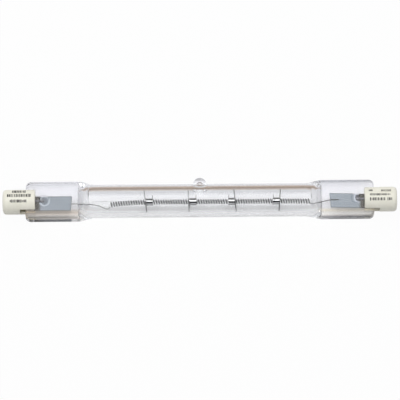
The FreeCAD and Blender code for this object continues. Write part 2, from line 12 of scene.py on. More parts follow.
import bmesh
import bpy
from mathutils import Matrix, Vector

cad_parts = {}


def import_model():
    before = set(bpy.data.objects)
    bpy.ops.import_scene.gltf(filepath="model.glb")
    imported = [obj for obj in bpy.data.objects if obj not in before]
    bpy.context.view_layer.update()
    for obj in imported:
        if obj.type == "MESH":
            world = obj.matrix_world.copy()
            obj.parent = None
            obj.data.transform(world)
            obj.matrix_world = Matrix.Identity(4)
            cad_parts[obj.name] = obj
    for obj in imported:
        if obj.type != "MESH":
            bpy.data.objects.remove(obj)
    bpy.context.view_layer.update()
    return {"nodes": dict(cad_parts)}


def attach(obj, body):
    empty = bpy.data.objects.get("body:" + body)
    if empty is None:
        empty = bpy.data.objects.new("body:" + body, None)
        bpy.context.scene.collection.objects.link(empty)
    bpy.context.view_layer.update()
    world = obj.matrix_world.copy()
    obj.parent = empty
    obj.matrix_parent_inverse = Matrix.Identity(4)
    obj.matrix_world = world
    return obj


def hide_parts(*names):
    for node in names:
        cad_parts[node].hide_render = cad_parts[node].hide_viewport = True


LOG = logging.getLogger("lamp")

MM = 0.001
# In millimetres: half a foil's thickness, and how far a lead's middle lies in front of its foil.
FOIL_HALF_THICKNESS = 0.03
LEAD_HEIGHT = 0.33
# Two places closer than this, in millimetres, count as the same.
TOUCHING = 0.01
# Points closer than this, in metres, are merged.
MERGED = 1e-7

Colour = tuple[float, float, float]
Stops = Sequence[tuple[float, Colour]]
Profile = Sequence[tuple[float, float]]
Line = Sequence[Vector]
Face = Sequence[int]
Socket = bpy.types.NodeSocket
Material = bpy.types.Material
Piece = bpy.types.Object


class Side(Enum):
    """The two ends of the lamp, seen from above with its exhaust tip at the back."""

    LEFT = -1
    RIGHT = 1

    @property
    def title(self) -> str:
        """The end's name as the pieces' names hold it."""
        return self.name.lower()


class Ease(Enum):
    """How a mask grows on its way from none to full."""

    EVEN = "LINEAR"
    SOFT = "SMOOTHSTEP"


def rolled(x: float, w: float, t: float, roll: float) -> Vector:
    """The point at X, W across and T through a section that is rolled by some degrees."""
    turn = math.radians(roll)
    return Vector((
        x, w * math.cos(turn) + t * math.sin(turn), -w * math.sin(turn) + t * math.cos(turn)
    ))


@dataclass(frozen=True)
class End:
    """One end's frame: D outwards along the lamp, W across its pinch and T square to both."""

    side: Side
    roll: float
    pinch_half_width: float

    def at(self, d: float, w: float, t: float) -> Vector:
        """The point at these distances, in millimetres along D, W and T."""
        return rolled(self.side.value * d, w, t, self.roll)


ENDS = {Side.LEFT: End(Side.LEFT, 24.0, 6.15), Side.RIGHT: End(Side.RIGHT, 15.0, 5.85)}


def smooth_step(share: float) -> float:
    """Eases a share of the way from 0 to 1 in and out."""
    share = min(max(share, 0.0), 1.0)
    return share * share * (3.0 - 2.0 * share)


def smooth_max(a: float, b: float, width: float) -> float:
    """The larger of two numbers, rounded over where they are closer than width."""
    near = max(width - abs(a - b), 0.0) / width
    return max(a, b) + near**3 * width / 6.0


def smooth_min(a: float, b: float, width: float) -> float:
    """The smaller of two numbers, rounded over where they are closer than width."""
    return -smooth_max(-a, -b, width)


def round_inset(past: float, radius: float) -> float:
    """How far a rounded corner draws in, where a point has come past its start."""
    return radius * (1 - math.sqrt(max(1 - (max(past, 0.0) / radius) ** 2, 0.0)))


def circle(steps: int) -> list[tuple[float, float]]:
    """The cosine and sine at each step of a full turn."""
    turns = [2 * math.pi * step / steps for step in range(steps)]
    return [(math.cos(turn), math.sin(turn)) for turn in turns]


def quarter(degrees: int) -> list[tuple[float, float]]:
    """The cosine and sine at each step of some degrees in a quarter turn, both ends included."""
    turns = [math.radians(angle) for angle in range(0, 91, degrees)]
    return [(math.cos(turn), math.sin(turn)) for turn in turns]


class Nodes:
    """A node tree, with short calls that add nodes and join them."""

    def __init__(self, tree: bpy.types.NodeTree) -> None:
        """Takes the tree."""
        self.tree = tree

    def node(
        self, kind: str, inputs: dict[Any, Any] | None = None, **settings: Any
    ) -> bpy.types.Node:
        """Adds a node.

        Args:
            kind: The node's type.
            inputs: Values or output sockets for its inputs, by name or number.
            settings: Its own properties.

        Returns:
            The new node.
        """
        node = self.tree.nodes.new(kind)
        for name, value in settings.items():
            setattr(node, name, value)
        for key, value in (inputs or {}).items():
            if isinstance(value, Socket):
                self.tree.links.new(value, node.inputs[key])
            else:
                node.inputs[key].default_value = value
        return node

    def math(self, operation: str, a: Any, b: Any = 0.0, c: Any = 0.0) -> Socket:
        """The result of an operation on up to three numbers."""
        return self.node("ShaderNodeMath", {0: a, 1: b, 2: c}, operation=operation).outputs[0]

    def mix(self, share: Any, low: Any, high: Any) -> Socket:
        """The number that lies between two others by a share."""
        return self.node("ShaderNodeMix", {0: share, 2: low, 3: high}).outputs[0]

    def blend(self, share: Any, under: Any, over: Any, kind: str = "MIX") -> Socket:
        """One colour over another.

        Args:
            share: How much of the upper colour shows.
            under: The lower colour.
            over: The upper one.
            kind: How the two are joined.

        Returns:
            The joint colour.
        """
        inputs = {0: share, 6: under, 7: over}
        return self.node("ShaderNodeMix", inputs, data_type="RGBA", blend_type=kind).outputs[2]

    def ramp(self, value: Socket, stops: Stops) -> Socket:
        """Turns a value into a colour by stops from low to high.

        Args:
            value: The value.
            stops: Places from 0 to 1 with their colours.

        Returns:
            The colour.
        """
        node = self.node("ShaderNodeValToRGB", {"Fac": value})
        elements = node.color_ramp.elements
        while len(elements) < len(stops):
            elements.new(0.5)
        for element, (place, colour) in zip(elements, stops):
            element.position = place
            element.color = (*colour, 1.0)
        return node.outputs["Color"]

    def between(self, mask: Socket, low: float, high: float) -> Socket:
        """A number that follows a mask from its low value to its high one."""
        inputs = {"Value": mask, "To Min": low, "To Max": high}
        return self.node("ShaderNodeMapRange", inputs).outputs[0]

    def grow(
        self, value: Socket, none: float, full: float, ease: Ease = Ease.SOFT, most: Any = 1.0
    ) -> Socket:
        """A mask that grows between two distances.

        Args:
            value: The distance in metres.
            none: Where the mask is 0, in millimetres.
            full: Where it has grown, in millimetres.
            ease: How it grows.
            most: What it grows to.

        Returns:
            The mask.
        """
        inputs = {"Value": value, "From Min": none * MM, "From Max": full * MM, "To Max": most}
        node = self.node("ShaderNodeMapRange", inputs, interpolation_type=ease.value)
        return node.outputs[0]


class Shader(Nodes):
    """A material's nodes."""

    def __init__(self, name: str) -> None:
        """Starts a material with an empty tree."""
        self.material = bpy.data.materials.new(name)
        self.material.use_nodes = True
        super().__init__(self.material.node_tree)
        self.tree.nodes.clear()

    def place(self) -> Socket:
        """The point on the object, in metres."""
        return self.node("ShaderNodeTexCoord").outputs["Object"]

    def axes(self) -> bpy.types.NodeOutputs:
        """The point's X, Y and Z on the object, in metres."""
        return self.node("ShaderNodeSeparateXYZ", {0: self.place()}).outputs

    def effect(self, group: Group, **inputs: float) -> bpy.types.NodeOutputs:
        """What a shared effect puts out with this finish's own values."""
        values = {label.title(): value for label, value in inputs.items()}
        values["Place"] = self.place()
        return self.node("ShaderNodeGroup", values, node_tree=group.tree).outputs

    def bump(self, height: Socket, depth: float, strength: float) -> Socket:
        """The normals of a surface that a mask raises by some metres."""
        inputs = {"Height": height, "Distance": depth, "Strength": strength}
        return self.node("ShaderNodeBump", inputs).outputs["Normal"]

    def finish(self, shader: bpy.types.Node) -> Material:
        """Puts a shader on the surface and returns the material."""
        self.node("ShaderNodeOutputMaterial", {"Surface": shader.outputs[0]})
        return self.material


class Group(Nodes):
    """A node tree with named inputs and outputs: a shared effect, or one of Geometry Nodes."""

    def __init__(
        self, kind: str, name: str, inputs: dict[str, str], outputs: dict[str, str]
    ) -> None:
        """Starts the tree.

        Args:
            kind: The tree's type.
            name: The tree's name.
            inputs: The socket type of each named input.
            outputs: The socket type of each named output.
        """
        super().__init__(bpy.data.node_groups.new(name, kind))
        for in_out, sockets in (("INPUT", inputs), ("OUTPUT", outputs)):
            for label, socket in sockets.items():
                self.tree.interface.new_socket(
                    label, in_out=in_out, socket_type=f"NodeSocket{socket}"
                )
        self.inputs = self.node("NodeGroupInput").outputs
        self.sink = self.node("NodeGroupOutput")

    def give(self, label: str, value: Socket) -> None:
        """Joins a value to a named output."""
        self.tree.links.new(value, self.sink.inputs[label])


class Effects:
    """The effects that more than one finish uses."""

    coarser = 0.17

    def __init__(self) -> None:
        """Builds each group once."""
        self.grain = self.make_grain()
        self.streaks = self.make_streaks()

    def make_grain(self) -> Group:
        """Speckles and pits at two scales, as in fired or cast stuff.

        Returns:
            The group.
        """
        group = Group(
            "ShaderNodeTree", "Grain", {"Place": "Vector", "Scale": "Float", "Coarse": "Float"},
            {"Mask": "Float", "Pits": "Float"},
        )
        place, scale = group.inputs["Place"], group.inputs["Scale"]
        fine = group.node("ShaderNodeTexNoise", {"Vector": place, "Scale": scale, "Detail": 5.0})
        slower = group.math("MULTIPLY", scale, self.coarser)
        coarse = group.node("ShaderNodeTexNoise", {"Vector": place, "Scale": slower, "Detail": 3.0})
        pits = group.node("ShaderNodeTexVoronoi", {"Vector": place, "Scale": scale})
        group.give("Mask", group.mix(group.inputs["Coarse"], fine.outputs[0], coarse.outputs[0]))
        group.give("Pits", pits.outputs["Distance"])
        return group

    def make_streaks(self) -> Group:
        """Fine lines along X, as drawing or rolling leaves them.

        Returns:
            The group.
        """
        group = Group(
            "ShaderNodeTree", "Streaks", {"Place": "Vector", "Along": "Float", "Across": "Float"},
            {"Mask": "Float"},
        )
        along, across = group.inputs["Along"], group.inputs["Across"]
        stretch = group.node("ShaderNodeCombineXYZ", {0: along, 1: across, 2: across})
        scaled = group.node(
            "ShaderNodeVectorMath", {0: group.inputs["Place"], 1: stretch.outputs[0]},
            operation="MULTIPLY",
        )
        lines = group.node(
            "ShaderNodeTexNoise", {"Vector": scaled.outputs[0], "Scale": 1.0, "Detail": 3.0}
        )
        group.give("Mask", lines.outputs[0])
        return group


@dataclass(frozen=True)
class QuartzGlass:
    """Clear fused quartz with the faint flow lines of drawn tube.

    Its colour follows X and Y on the lamp, in millimetres: clear in the tube, with painted shade
    and painted reflection bands across the pinches and painted shade on the tip. The pinches'
    stops lead across the lamp, along +Y.
    """

    tint: Colour = (0.992, 0.994, 0.996)
    pinch_from: float = 33.6
    pinch_to: float = 36.9
    # Where the tip's top takes its painted shade grey, near the middle and towards +Y.
    tip_half: float = 4.0
    tip_shade_start: float = 5.6
    tip_shade_full: float = 6.3
    tip_painted_shade: Colour = (0.5, 0.51, 0.53)
    half_range: float = 6.5
    # Painted shade and painted reflection across each pinch: dark edges, grey shadow and warm
    # bands.
    left_pinch_painted_bands: Stops = (
        (0.00, (0.90, 0.87, 0.85)), (0.14, (0.73, 0.69, 0.64)), (0.175, (0.95, 0.90, 0.85)),
        (0.21, (0.90, 0.79, 0.69)), (0.26, (0.67, 0.58, 0.49)), (0.32, (0.88, 0.87, 0.89)),
        (0.36, (0.86, 0.86, 0.88)), (0.90, (0.88, 0.88, 0.90)), (0.95, (0.68, 0.69, 0.72)),
    )
    right_pinch_painted_bands: Stops = (
        (0.00, (0.20, 0.20, 0.21)), (0.115, (0.22, 0.22, 0.23)), (0.14, (0.96, 0.93, 0.91)),
        (0.19, (1.00, 0.98, 0.95)), (0.25, (0.93, 0.86, 0.73)), (0.31, (0.94, 0.935, 0.95)),
        (0.87, (0.93, 0.93, 0.95)), (0.915, (0.42, 0.43, 0.46)),
    )
    ior: float = 1.458
    flow_along: float = 25.0
    flow_across: float = 220.0
    flow_depth: float = 0.000002
    edge_shadow: float = 0.5
    trapped_bounces: float = 2.5
    shadow_stops: Stops = (
        (0.0, (0.97, 0.97, 0.97)), (0.6, (0.95, 0.95, 0.95)), (0.95, (0.6, 0.6, 0.6)),
    )

    def build(self, effects: Effects) -> Material:
        """Makes the material, whose shadow is nearly clear.

        Args:
            effects: The shared effects.

        Returns:
            The material.
        """
        shader = Shader("quartz_glass")
        flow = shader.effect(effects.streaks, along=self.flow_along, across=self.flow_across)
        glass = shader.node(
            "ShaderNodeBsdfPrincipled",
            {
                "Base Color": self.painted_glass_colour(shader),
                "Roughness": 0.0,
                "IOR": self.ior,
                "Transmission Weight": 1.0,
                "Normal": shader.bump(flow["Mask"], self.flow_depth, 1.0),
            },
        )
        edge = shader.node("ShaderNodeLayerWeight", {"Blend": self.edge_shadow})
        pale = shader.ramp(edge.outputs["Facing"], self.shadow_stops)
        clear = shader.node("ShaderNodeBsdfTransparent", {"Color": pale})
        light = shader.node("ShaderNodeLightPath").outputs
        # A ray that has bounced often inside the glass leaves it, so that no edge turns black.
        trapped = shader.math("GREATER_THAN", light["Glossy Depth"], self.trapped_bounces)
        passing = shader.math("MAXIMUM", light["Is Shadow Ray"], trapped)
        return shader.finish(shader.node(
            "ShaderNodeMixShader", {0: passing, 1: glass.outputs[0], 2: clear.outputs[0]}
        ))

    def painted_glass_colour(self, shader: Shader) -> Socket:
        """The glass's colour: clear in the tube, with painted shade and reflection at pinches and
        tip.

        Args:
            shader: The material's nodes.

        Returns:
            The colour.
        """
        place = shader.axes()
        across = shader.grow(place["Y"], -self.half_range, self.half_range, Ease.EVEN)
        colour: Any = (*self.tint, 1.0)
        # Each pinch's painted shade and painted reflection bands, across the lamp.
        for side, stops in ((Side.LEFT, self.left_pinch_painted_bands), (Side.RIGHT, self.right_pinch_painted_bands)):
            mask = shader.grow(
                place["X"], side.value * self.pinch_from, side.value * self.pinch_to
            )
            colour = shader.blend(mask, colour, shader.ramp(across, stops))
        # The painted shade over the tip's top, only near the lamp's middle.
        reach = shader.math("ABSOLUTE", place["X"])
        middle = shader.math("LESS_THAN", reach, self.tip_half * MM)
        tip_shade_mask = shader.grow(place["Y"], self.tip_shade_start, self.tip_shade_full, most=middle)
        return shader.blend(tip_shade_mask, colour, (*self.tip_painted_shade, 1.0))


@dataclass(frozen=True)
class Fired:
    """A matt or glazed mineral: the caps' ceramic, or the cement that holds them."""

    name: str
    low: Colour
    high: Colour
    roughness: float
    grain_scale: float
    pit_depth: float
    coat: float = 0.0
    coat_roughness: float = 0.25
    coarse: float = 0.55
    stops: tuple[float, float] = (0.35, 0.65)
    gloss_change: float = 0.07
    bump_strength: float = 0.6

    def build(self, effects: Effects) -> Material:
        """Makes the material, mottled and pitted.

        Args:
            effects: The shared effects.

        Returns:
            The material.
        """
        shader = Shader(self.name)
        grain = shader.effect(effects.grain, scale=self.grain_scale, coarse=self.coarse)
        low, high = self.roughness - self.gloss_change, self.roughness + self.gloss_change
        colours = (self.low, self.high)
        return shader.finish(shader.node(
            "ShaderNodeBsdfPrincipled",
            {
                "Base Color": shader.ramp(grain["Mask"], tuple(zip(self.stops, colours))),
                "Roughness": shader.between(grain["Mask"], low, high),
                "Coat Weight": self.coat,
                "Coat Roughness": self.coat_roughness,
                "Normal": shader.bump(grain["Pits"], self.pit_depth, self.bump_strength),
            },
        ))


@dataclass(frozen=True)
class WeldMark:
    """A mark over a weld on a foil, in millimetres: its bright rim is a painted highlight."""

    x: float
    y: float
    radius: float
    inside: Colour
    rim: Colour
    rim_width: float = 0.36
    softness: float = 0.4


@dataclass(frozen=True)
class DrawnMetal:
    """Drawn or rolled metal with fine lines along the lamp. Its places are in millimetres."""

    name: str
    low: Colour
    high: Colour
    roughness: float
    along: float
    across: float
    line_depth: float
    metallic: float = 1.0
    stops: tuple[float, float] = (0.3, 0.7)
    gloss_change: float = 0.2
    bump_strength: float = 0.7
    # Painted shade towards the lamp's ends, and weld marks whose bright rims are painted
    # highlights.
    end_shade: Colour | None = None
    end_shade_from: float = 47.2
    end_shade_to: float = 48.3
    marks: tuple[WeldMark, ...] = (
        WeldMark(47.6, 0.45, 1.45, (0.05, 0.055, 0.07), (0.47, 0.50, 0.56)),
        WeldMark(-46.4, 0.0, 1.42, (0.13, 0.15, 0.17), (0.42, 0.46, 0.50)),
    )
    # A painted highlight on the inner sides of a coil's turns.
    inner: Colour | None = None
    axis_drop: float = 0.35
    highlight_softness: float = 0.1
    # Painted reflection bars along the filament, as levels across it.
    bars: Profile = ()
    reflection_bars_half: float = 1.05

    def build(self, effects: Effects) -> Material:
        """Makes the material, streaked in colour, gloss and height.

        Args:
            effects: The shared effects.

        Returns:
            The material.
        """
        shader = Shader(self.name)
        lines = shader.effect(effects.streaks, along=self.along, across=self.across)["Mask"]
        colour = shader.ramp(lines, tuple(zip(self.stops, (self.low, self.high))))
        dull, bright = 1.0 + self.gloss_change, 1.0 - self.gloss_change
        if self.end_shade:
            colour = self.paint_end_shade(shader, colour)
        if self.inner:
            colour = self.paint_inner_highlight(shader, colour)
        if self.bars:
            colour = self.paint_reflection_bars(shader, colour)
        return shader.finish(shader.node(
            "ShaderNodeBsdfPrincipled",
            {
                "Base Color": colour,
                "Metallic": self.metallic,
                "Roughness": shader.between(lines, self.roughness * bright, self.roughness * dull),
                "Normal": shader.bump(lines, self.line_depth, self.bump_strength),
            },
        ))

    def paint_end_shade(self, shader: Shader, colour: Socket) -> Socket:
        """Paints shade towards the lamp's ends, and a weld mark with a painted highlight rim.

        Args:
            shader: The material's nodes.
            colour: The clean metal's colour.

        Returns:
            The colour with its painted end shade and weld marks.
        """
        layers = []
        for mark in self.marks:
            away = shader.node(
                "ShaderNodeVectorMath", {0: shader.place(), 1: (mark.x * MM, mark.y * MM, 0.0)},
                operation="DISTANCE",
            ).outputs["Value"]
            # The bright rim is a painted highlight; the inside is darker.
            risen = shader.grow(away, mark.radius - mark.rim_width, mark.radius)
            fallen = shader.grow(away, mark.radius + mark.rim_width, mark.radius)
            inside = shader.grow(away, mark.radius, mark.radius - mark.softness)
            layers += [(inside, mark.inside), (shader.math("MULTIPLY", risen, fallen), mark.rim)]
        reach = shader.math("ABSOLUTE", shader.axes()["X"])
        # The painted end shade lies over the right foil's mark and under the left one's.
        layers.insert(2, (shader.grow(reach, self.end_shade_from, self.end_shade_to), self.end_shade))
        for mask, layer in layers:
            colour = shader.blend(mask, colour, (*layer, 1.0))
        return colour

    def paint_reflection_bars(self, shader: Shader, colour: Socket) -> Socket:
        """Lays painted reflection bars, dark and bright, along the filament.

        Args:
            shader: The material's nodes.
            colour: The clean metal's colour.

        Returns:
            The colour with its painted reflection bars.
        """
        near, far = -self.reflection_bars_half - self.axis_drop, self.reflection_bars_half - self.axis_drop
        across = shader.grow(shader.axes()["Y"], near, far, Ease.EVEN)
        stops = [(at, (level, level, level)) for at, level in self.bars]
        return shader.blend(1.0, colour, shader.ramp(across, stops), "MULTIPLY")

    def paint_inner_highlight(self, shader: Shader, colour: Socket) -> Socket:
        """Paints a highlight on the sides of a coil's turns that face its axis.

        Args:
            shader: The material's nodes.
            colour: The outer sides' colour, a dark painted shade.

        Returns:
            The colour with its painted highlight on the inner sides.
        """
        from_axis = shader.node(
            "ShaderNodeVectorMath",
            {0: shader.place(), 1: (0.0, 1.0, 1.0), 2: (0.0, self.axis_drop * MM, 0.0)},
            operation="MULTIPLY_ADD",
        )
        normal = shader.node("ShaderNodeTexCoord").outputs["Normal"]
        facing = shader.node(
            "ShaderNodeVectorMath", {0: from_axis.outputs[0], 1: normal}, operation="DOT_PRODUCT"
        )
        # The painted highlight grows where a face turns towards the coil's axis.
        inner_highlight = shader.grow(facing.outputs["Value"], self.highlight_softness, -self.highlight_softness)
        return shader.blend(inner_highlight, colour, (*self.inner, 1.0))


@dataclass(frozen=True)
class PrintInk:
    """Dark fired ink, a little broken up."""

    dark: Colour = (0.035, 0.033, 0.03)
    worn: Colour = (0.2, 0.19, 0.17)
    roughness: float = 0.6
    grain_scale: float = 6000.0
    coarse: float = 0.3
    stops: tuple[float, float] = (0.5, 0.75)

    def build(self, effects: Effects) -> Material:
        """Makes the material.

        Args:
            effects: The shared effects.

        Returns:
            The material.
        """
        shader = Shader("cap_ink")
        grain = shader.effect(effects.grain, scale=self.grain_scale, coarse=self.coarse)
        colour = shader.ramp(grain["Mask"], tuple(zip(self.stops, (self.dark, self.worn))))
        inputs = {"Base Color": colour, "Roughness": self.roughness}
        return shader.finish(shader.node("ShaderNodeBsdfPrincipled", inputs))


class Finishes:
    """Every finish of the lamp, built once."""

    def __init__(self) -> None:
        """Builds the materials."""
        effects = Effects()
        self.quartz = QuartzGlass().build(effects)
        self.ceramic = Fired(
            "cap_ceramic", (0.90, 0.87, 0.74), (0.97, 0.945, 0.825), roughness=0.5,
            grain_scale=1500.0, pit_depth=0.00001, coat=0.15,
        ).build(effects)
        # The cement's dark olive is painted shade: the shade in the slot and through the glass.
        self.cement = Fired(
            "cap_cement", (0.17, 0.15, 0.09), (0.30, 0.28, 0.19), roughness=0.85,
            grain_scale=2200.0, pit_depth=0.00003,
        ).build(effects)
        self.tungsten = DrawnMetal(
            "tungsten", (0.10, 0.10, 0.10), (0.20, 0.20, 0.20), roughness=0.3,
            along=900.0, across=9000.0, line_depth=0.000002,
        ).build(effects)
        # The coil's dark outer sides are painted shade, and its pale inner sides a painted
        # highlight.
        self.coil = DrawnMetal(
            "coiled_tungsten_painted_light", (0.02, 0.02, 0.02), (0.05, 0.05, 0.05), roughness=0.35,
            along=900.0, across=9000.0, line_depth=0.000001, metallic=0.12,
            inner=(0.60, 0.60, 0.60),
        ).build(effects)
        # The close turns' dark and bright bars are painted reflections.
        self.sleeve = DrawnMetal(
            "polished_tungsten_painted_reflection", (0.80, 0.80, 0.80), (0.95, 0.95, 0.95), roughness=0.25,
            along=900.0, across=9000.0, line_depth=0.000001, metallic=0.5,
            bars=((0.0, 0.08), (0.10, 0.08), (0.18, 0.8), (0.30, 0.8), (0.36, 0.02),
                  (0.54, 0.02), (0.61, 1.0), (0.72, 1.0), (0.78, 0.02), (1.0, 0.02)),
        ).build(effects)
        # The foil's darkened ends are painted shade, and its weld marks' bright rims painted
        # highlights.
        self.foil = DrawnMetal(
            "molybdenum_foil", (0.165, 0.19, 0.215), (0.245, 0.28, 0.31), roughness=0.45,
            along=40.0, across=9000.0, line_depth=0.000004, metallic=0.55,
            end_shade=(0.03, 0.024, 0.01),
        ).build(effects)
        self.lead = DrawnMetal(
            "molybdenum_lead", (0.12, 0.12, 0.13), (0.26, 0.26, 0.28), roughness=0.4,
            along=80.0, across=8000.0, line_depth=0.000003,
        ).build(effects)
        self.nickel = DrawnMetal(
            "contact_nickel", (0.52, 0.50, 0.46), (0.68, 0.66, 0.62), roughness=0.3,
            along=3000.0, across=3000.0, line_depth=0.000003,
        ).build(effects)
        self.ink = PrintInk().build(effects)


def new_object(name: str, mesh: bpy.types.Mesh) -> Piece:
    """Puts a mesh into the scene as an object."""
    made = bpy.data.objects.new(name, mesh)
    bpy.context.scene.collection.objects.link(made)
    return made


def new_mesh(
    name: str, points: Line, edges: Sequence[Face], faces: Sequence[Face]
) -> bpy.types.Mesh:
    """Makes a mesh from points in millimetres, with edges or faces of their numbers."""
    mesh = bpy.data.meshes.new(name)
    mesh.from_pydata([tuple(p * MM) for p in points], edges, [tuple(f) for f in faces])
    return mesh


def mesh_object(
    name: str, points: Line, faces: Sequence[Face], material: Material, smooth: bool = True
) -> Piece:
    """Makes a mesh object from points in millimetres.

    Args:
        name: The object's name.
        points: Its vertices.
        faces: Lists of vertex numbers, outward side anticlockwise.
        material: Its finish.
        smooth: Whether its faces are shaded smooth.

    Returns:
        The object, linked to the scene.
    """
    mesh = new_mesh(name, points, [], faces)
    mesh.materials.append(material)
    mesh.polygons.foreach_set("use_smooth", [smooth] * len(mesh.polygons))
    mesh.update()
    return new_object(name, mesh)


def flatten(made: Piece) -> Piece:
    """Turns an object's modifiers into plain mesh.

    Args:
        made: The object.

    Returns:
        The same object.
    """
    bpy.context.view_layer.update()
    graph = bpy.context.evaluated_depsgraph_get()
    mesh = bpy.data.meshes.new_from_object(made.evaluated_get(graph))
    made.modifiers.clear()
    made.data = mesh
    return made


def outward(made: Piece) -> Piece:
    """Merges doubles and turns every face outwards.

    Args:
        made: A closed piece.

    Returns:
        The same piece.
    """
    work = bmesh.new()
    work.from_mesh(made.data)
    bmesh.ops.remove_doubles(work, verts=work.verts, dist=MERGED)
    bmesh.ops.recalc_face_normals(work, faces=work.faces)
    work.to_mesh(made.data)
    work.free()
    return made


def shade_by_angle(made: Piece, degrees: float) -> Piece:
    """Shades a piece smooth and leaves its sharper edges sharp."""
    made.data.shade_smooth()
    made.data.set_sharp_from_angle(angle=math.radians(degrees))
    return made


def seat(made: Piece, slot: str, *nodes: str) -> None:
    """Fixes a finished piece to the lamp.

    Args:
        made: The piece.
        slot: The record's material slot that it belongs to; it is not used.
        nodes: The CAD nodes that it stands for.
    """
    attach(made, "root")
    if nodes:
        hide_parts(*nodes)
    triangles = sum(len(p.vertices) - 2 for p in made.data.polygons)
    LOG.info("%s: %d triangles, for %s", made.name, triangles, ", ".join(nodes) or "itself")


def wall(rows: int, count: int, closed: bool = False) -> list[list[int]]:
    """The faces between rings of points.

    Args:
        rows: How many rings there are.
        count: How many points each has.
        closed: Whether the last ring is joined to the first.

    Returns:
        Lists of point numbers, ring by ring.
    """
    faces = []
    for row in range(rows if closed else rows - 1):
        a, b = row * count, (row + 1) % rows * count
        for i in range(count):
            j = (i + 1) % count
            faces.append([a + i, a + j, b + j, b + i])
    return faces


class Skin:
    """A closed skin of rings along the lamp, where a window can take a finer round patch."""

    def __init__(self, rings: Sequence[Line]) -> None:
        """Takes rings of as many points each, anticlockwise seen from the right.

        Args:
            rings: The rings' points.
        """
        self.count = len(rings[0])
        self.rows = len(rings)
        self.points = [point for ring in rings for point in ring]
        self.open_cells: set[tuple[int, int]] = set()
        self.patches: list[list[int]] = []

    def number(self, row: int, column: int) -> int:
        """A ring point's number."""
        return row * self.count + column % self.count

    def window(self, rows: tuple[int, int], columns: tuple[int, int]) -> list[int]:
        """Opens a block of cells.

        Args:
            rows: Its first and last ring.
            columns: Its first and last point on them.

        Returns:
            The points round the opening, in order.
        """
        for row in range(*rows):
            for column in range(*columns):
                self.open_cells.add((row, column % self.count))
        loop = [self.number(rows[0], c) for c in range(*columns)]
        loop += [self.number(r, columns[1]) for r in range(*rows)]
        loop += [self.number(rows[1], c) for c in range(columns[1], columns[0], -1)]
        loop += [self.number(r, columns[0]) for r in range(rows[1], rows[0], -1)]
        return loop

    def patch(
        self,
        loop: Face,
        radii: Sequence[float],
        locate: Callable[[Vector], tuple[float, float]],
        place: Callable[[float, float], Vector],
    ) -> None:
        """Fills a window with rings about its middle.

        Args:
            loop: The points round the window.
            radii: The rings' radii, largest first.
            locate: Gives a point's two coordinates on the surface.
            place: Gives the point at such coordinates.
        """
        spots = [locate(self.points[n]) for n in loop]
        rings = [list(loop)]
        for order, radius in enumerate(radii):
            ring = []
            for u, v in spots:
                reach = math.hypot(u, v)
                wide = (reach + radius) / 2 if order == 0 else radius
                ring.append(len(self.points))
                self.points.append(place(u / reach * wide, v / reach * wide))
            rings.append(ring)
        middle = len(self.points)
        self.points.append(place(0.0, 0.0))
        for i in range(len(loop)):
            j = (i + 1) % len(loop)
            for outer, inner in zip(rings, rings[1:]):
                self.patches.append([outer[i], outer[j], inner[j], inner[i]])
            self.patches.append([rings[-1][i], rings[-1][j], middle])

    def faces(self, inside_out: bool = False) -> list[list[int]]:
        """All faces, closed by one at each end.

        Args:
            inside_out: Whether they face into the closed space.

        Returns:
            Lists of point numbers.
        """
        cells = wall(self.rows, self.count)
        made = [f for n, f in enumerate(cells) if divmod(n, self.count) not in self.open_cells]
        made += self.patches
        made.append([self.number(0, c) for c in reversed(range(self.count))])
        made.append([self.number(self.rows - 1, c) for c in range(self.count)])
        return [face[::-1] for face in made] if inside_out else made


@dataclass(frozen=True)
class Tip:
    """The melted exhaust tip along its own axis: heights over the lamp's axis by radius."""

    angle: float = -30.0
    dome_radius: float = 2.0
    reach: float = 7.6
    steepest: float = 1.96
    fillet: float = 0.55
    hole_radius: float = 0.55
    hole_reach: float = 5.75
    hole_slope: float = 3.2
    hole_fillet: float = 0.9
    margin: float = 0.3
    rings: tuple[float, ...] = (
        3.2, 2.9, 2.7, 2.55, 2.42, 2.32, 2.24, 2.17, 2.11, 2.06, 2.02, 1.99, 1.96, 1.92, 1.86,
        1.78, 1.68, 1.54, 1.36, 1.14, 0.9, 0.66, 0.42, 0.2,
    )
    hole_rings: tuple[float, ...] = (
        2.6, 2.3, 2.05, 1.85, 1.67, 1.52, 1.38, 1.25, 1.13, 1.01, 0.9, 0.79, 0.68, 0.57, 0.46,
        0.35, 0.24, 0.12,
    )

    def dome(self, radius: float) -> float:
        """The outside's height at a radius from the tip's axis."""
        centre = self.reach - self.dome_radius
        rise = math.sqrt(self.dome_radius**2 - min(radius, self.steepest)**2)
        return centre + rise - max(radius - self.steepest, 0.0) * self.steepest / rise

    def hole(self, radius: float) -> float:
        """The sealed hole's height at a radius from the tip's axis."""
        beyond = radius - self.hole_radius
        if beyond > 0.0:
            return self.hole_reach - self.hole_radius - beyond * self.hole_slope
        return self.hole_reach - self.hole_radius + math.sqrt(self.hole_radius**2 - radius**2)


@dataclass(frozen=True)
class Dimple:
    """The round dent that the press leaves over a weld, in millimetres."""

    distance: float = 46.5
    radius: float = 1.4
    depth: float = 0.16
    wall_start: float = 0.22
    wall_width: float = 0.3
    rim: float = 0.03
    rim_out: float = 0.08
    rim_width: float = 0.1
    margin: float = 0.15
    rings: tuple[float, ...] = (
        1.9, 1.7, 1.55, 1.45, 1.38, 1.31, 1.24, 1.16, 1.05, 0.85, 0.55, 0.25,
    )

    def height(self, radius: float) -> float:
        """How far the face is raised at a radius from the dent's middle."""
        inside = 1.0 - smooth_step((radius - self.radius + self.wall_start) / self.wall_width)
        lip = math.exp(-(((radius - self.radius - self.rim_out) / self.rim_width) ** 2))
        return self.rim * lip - self.depth * inside


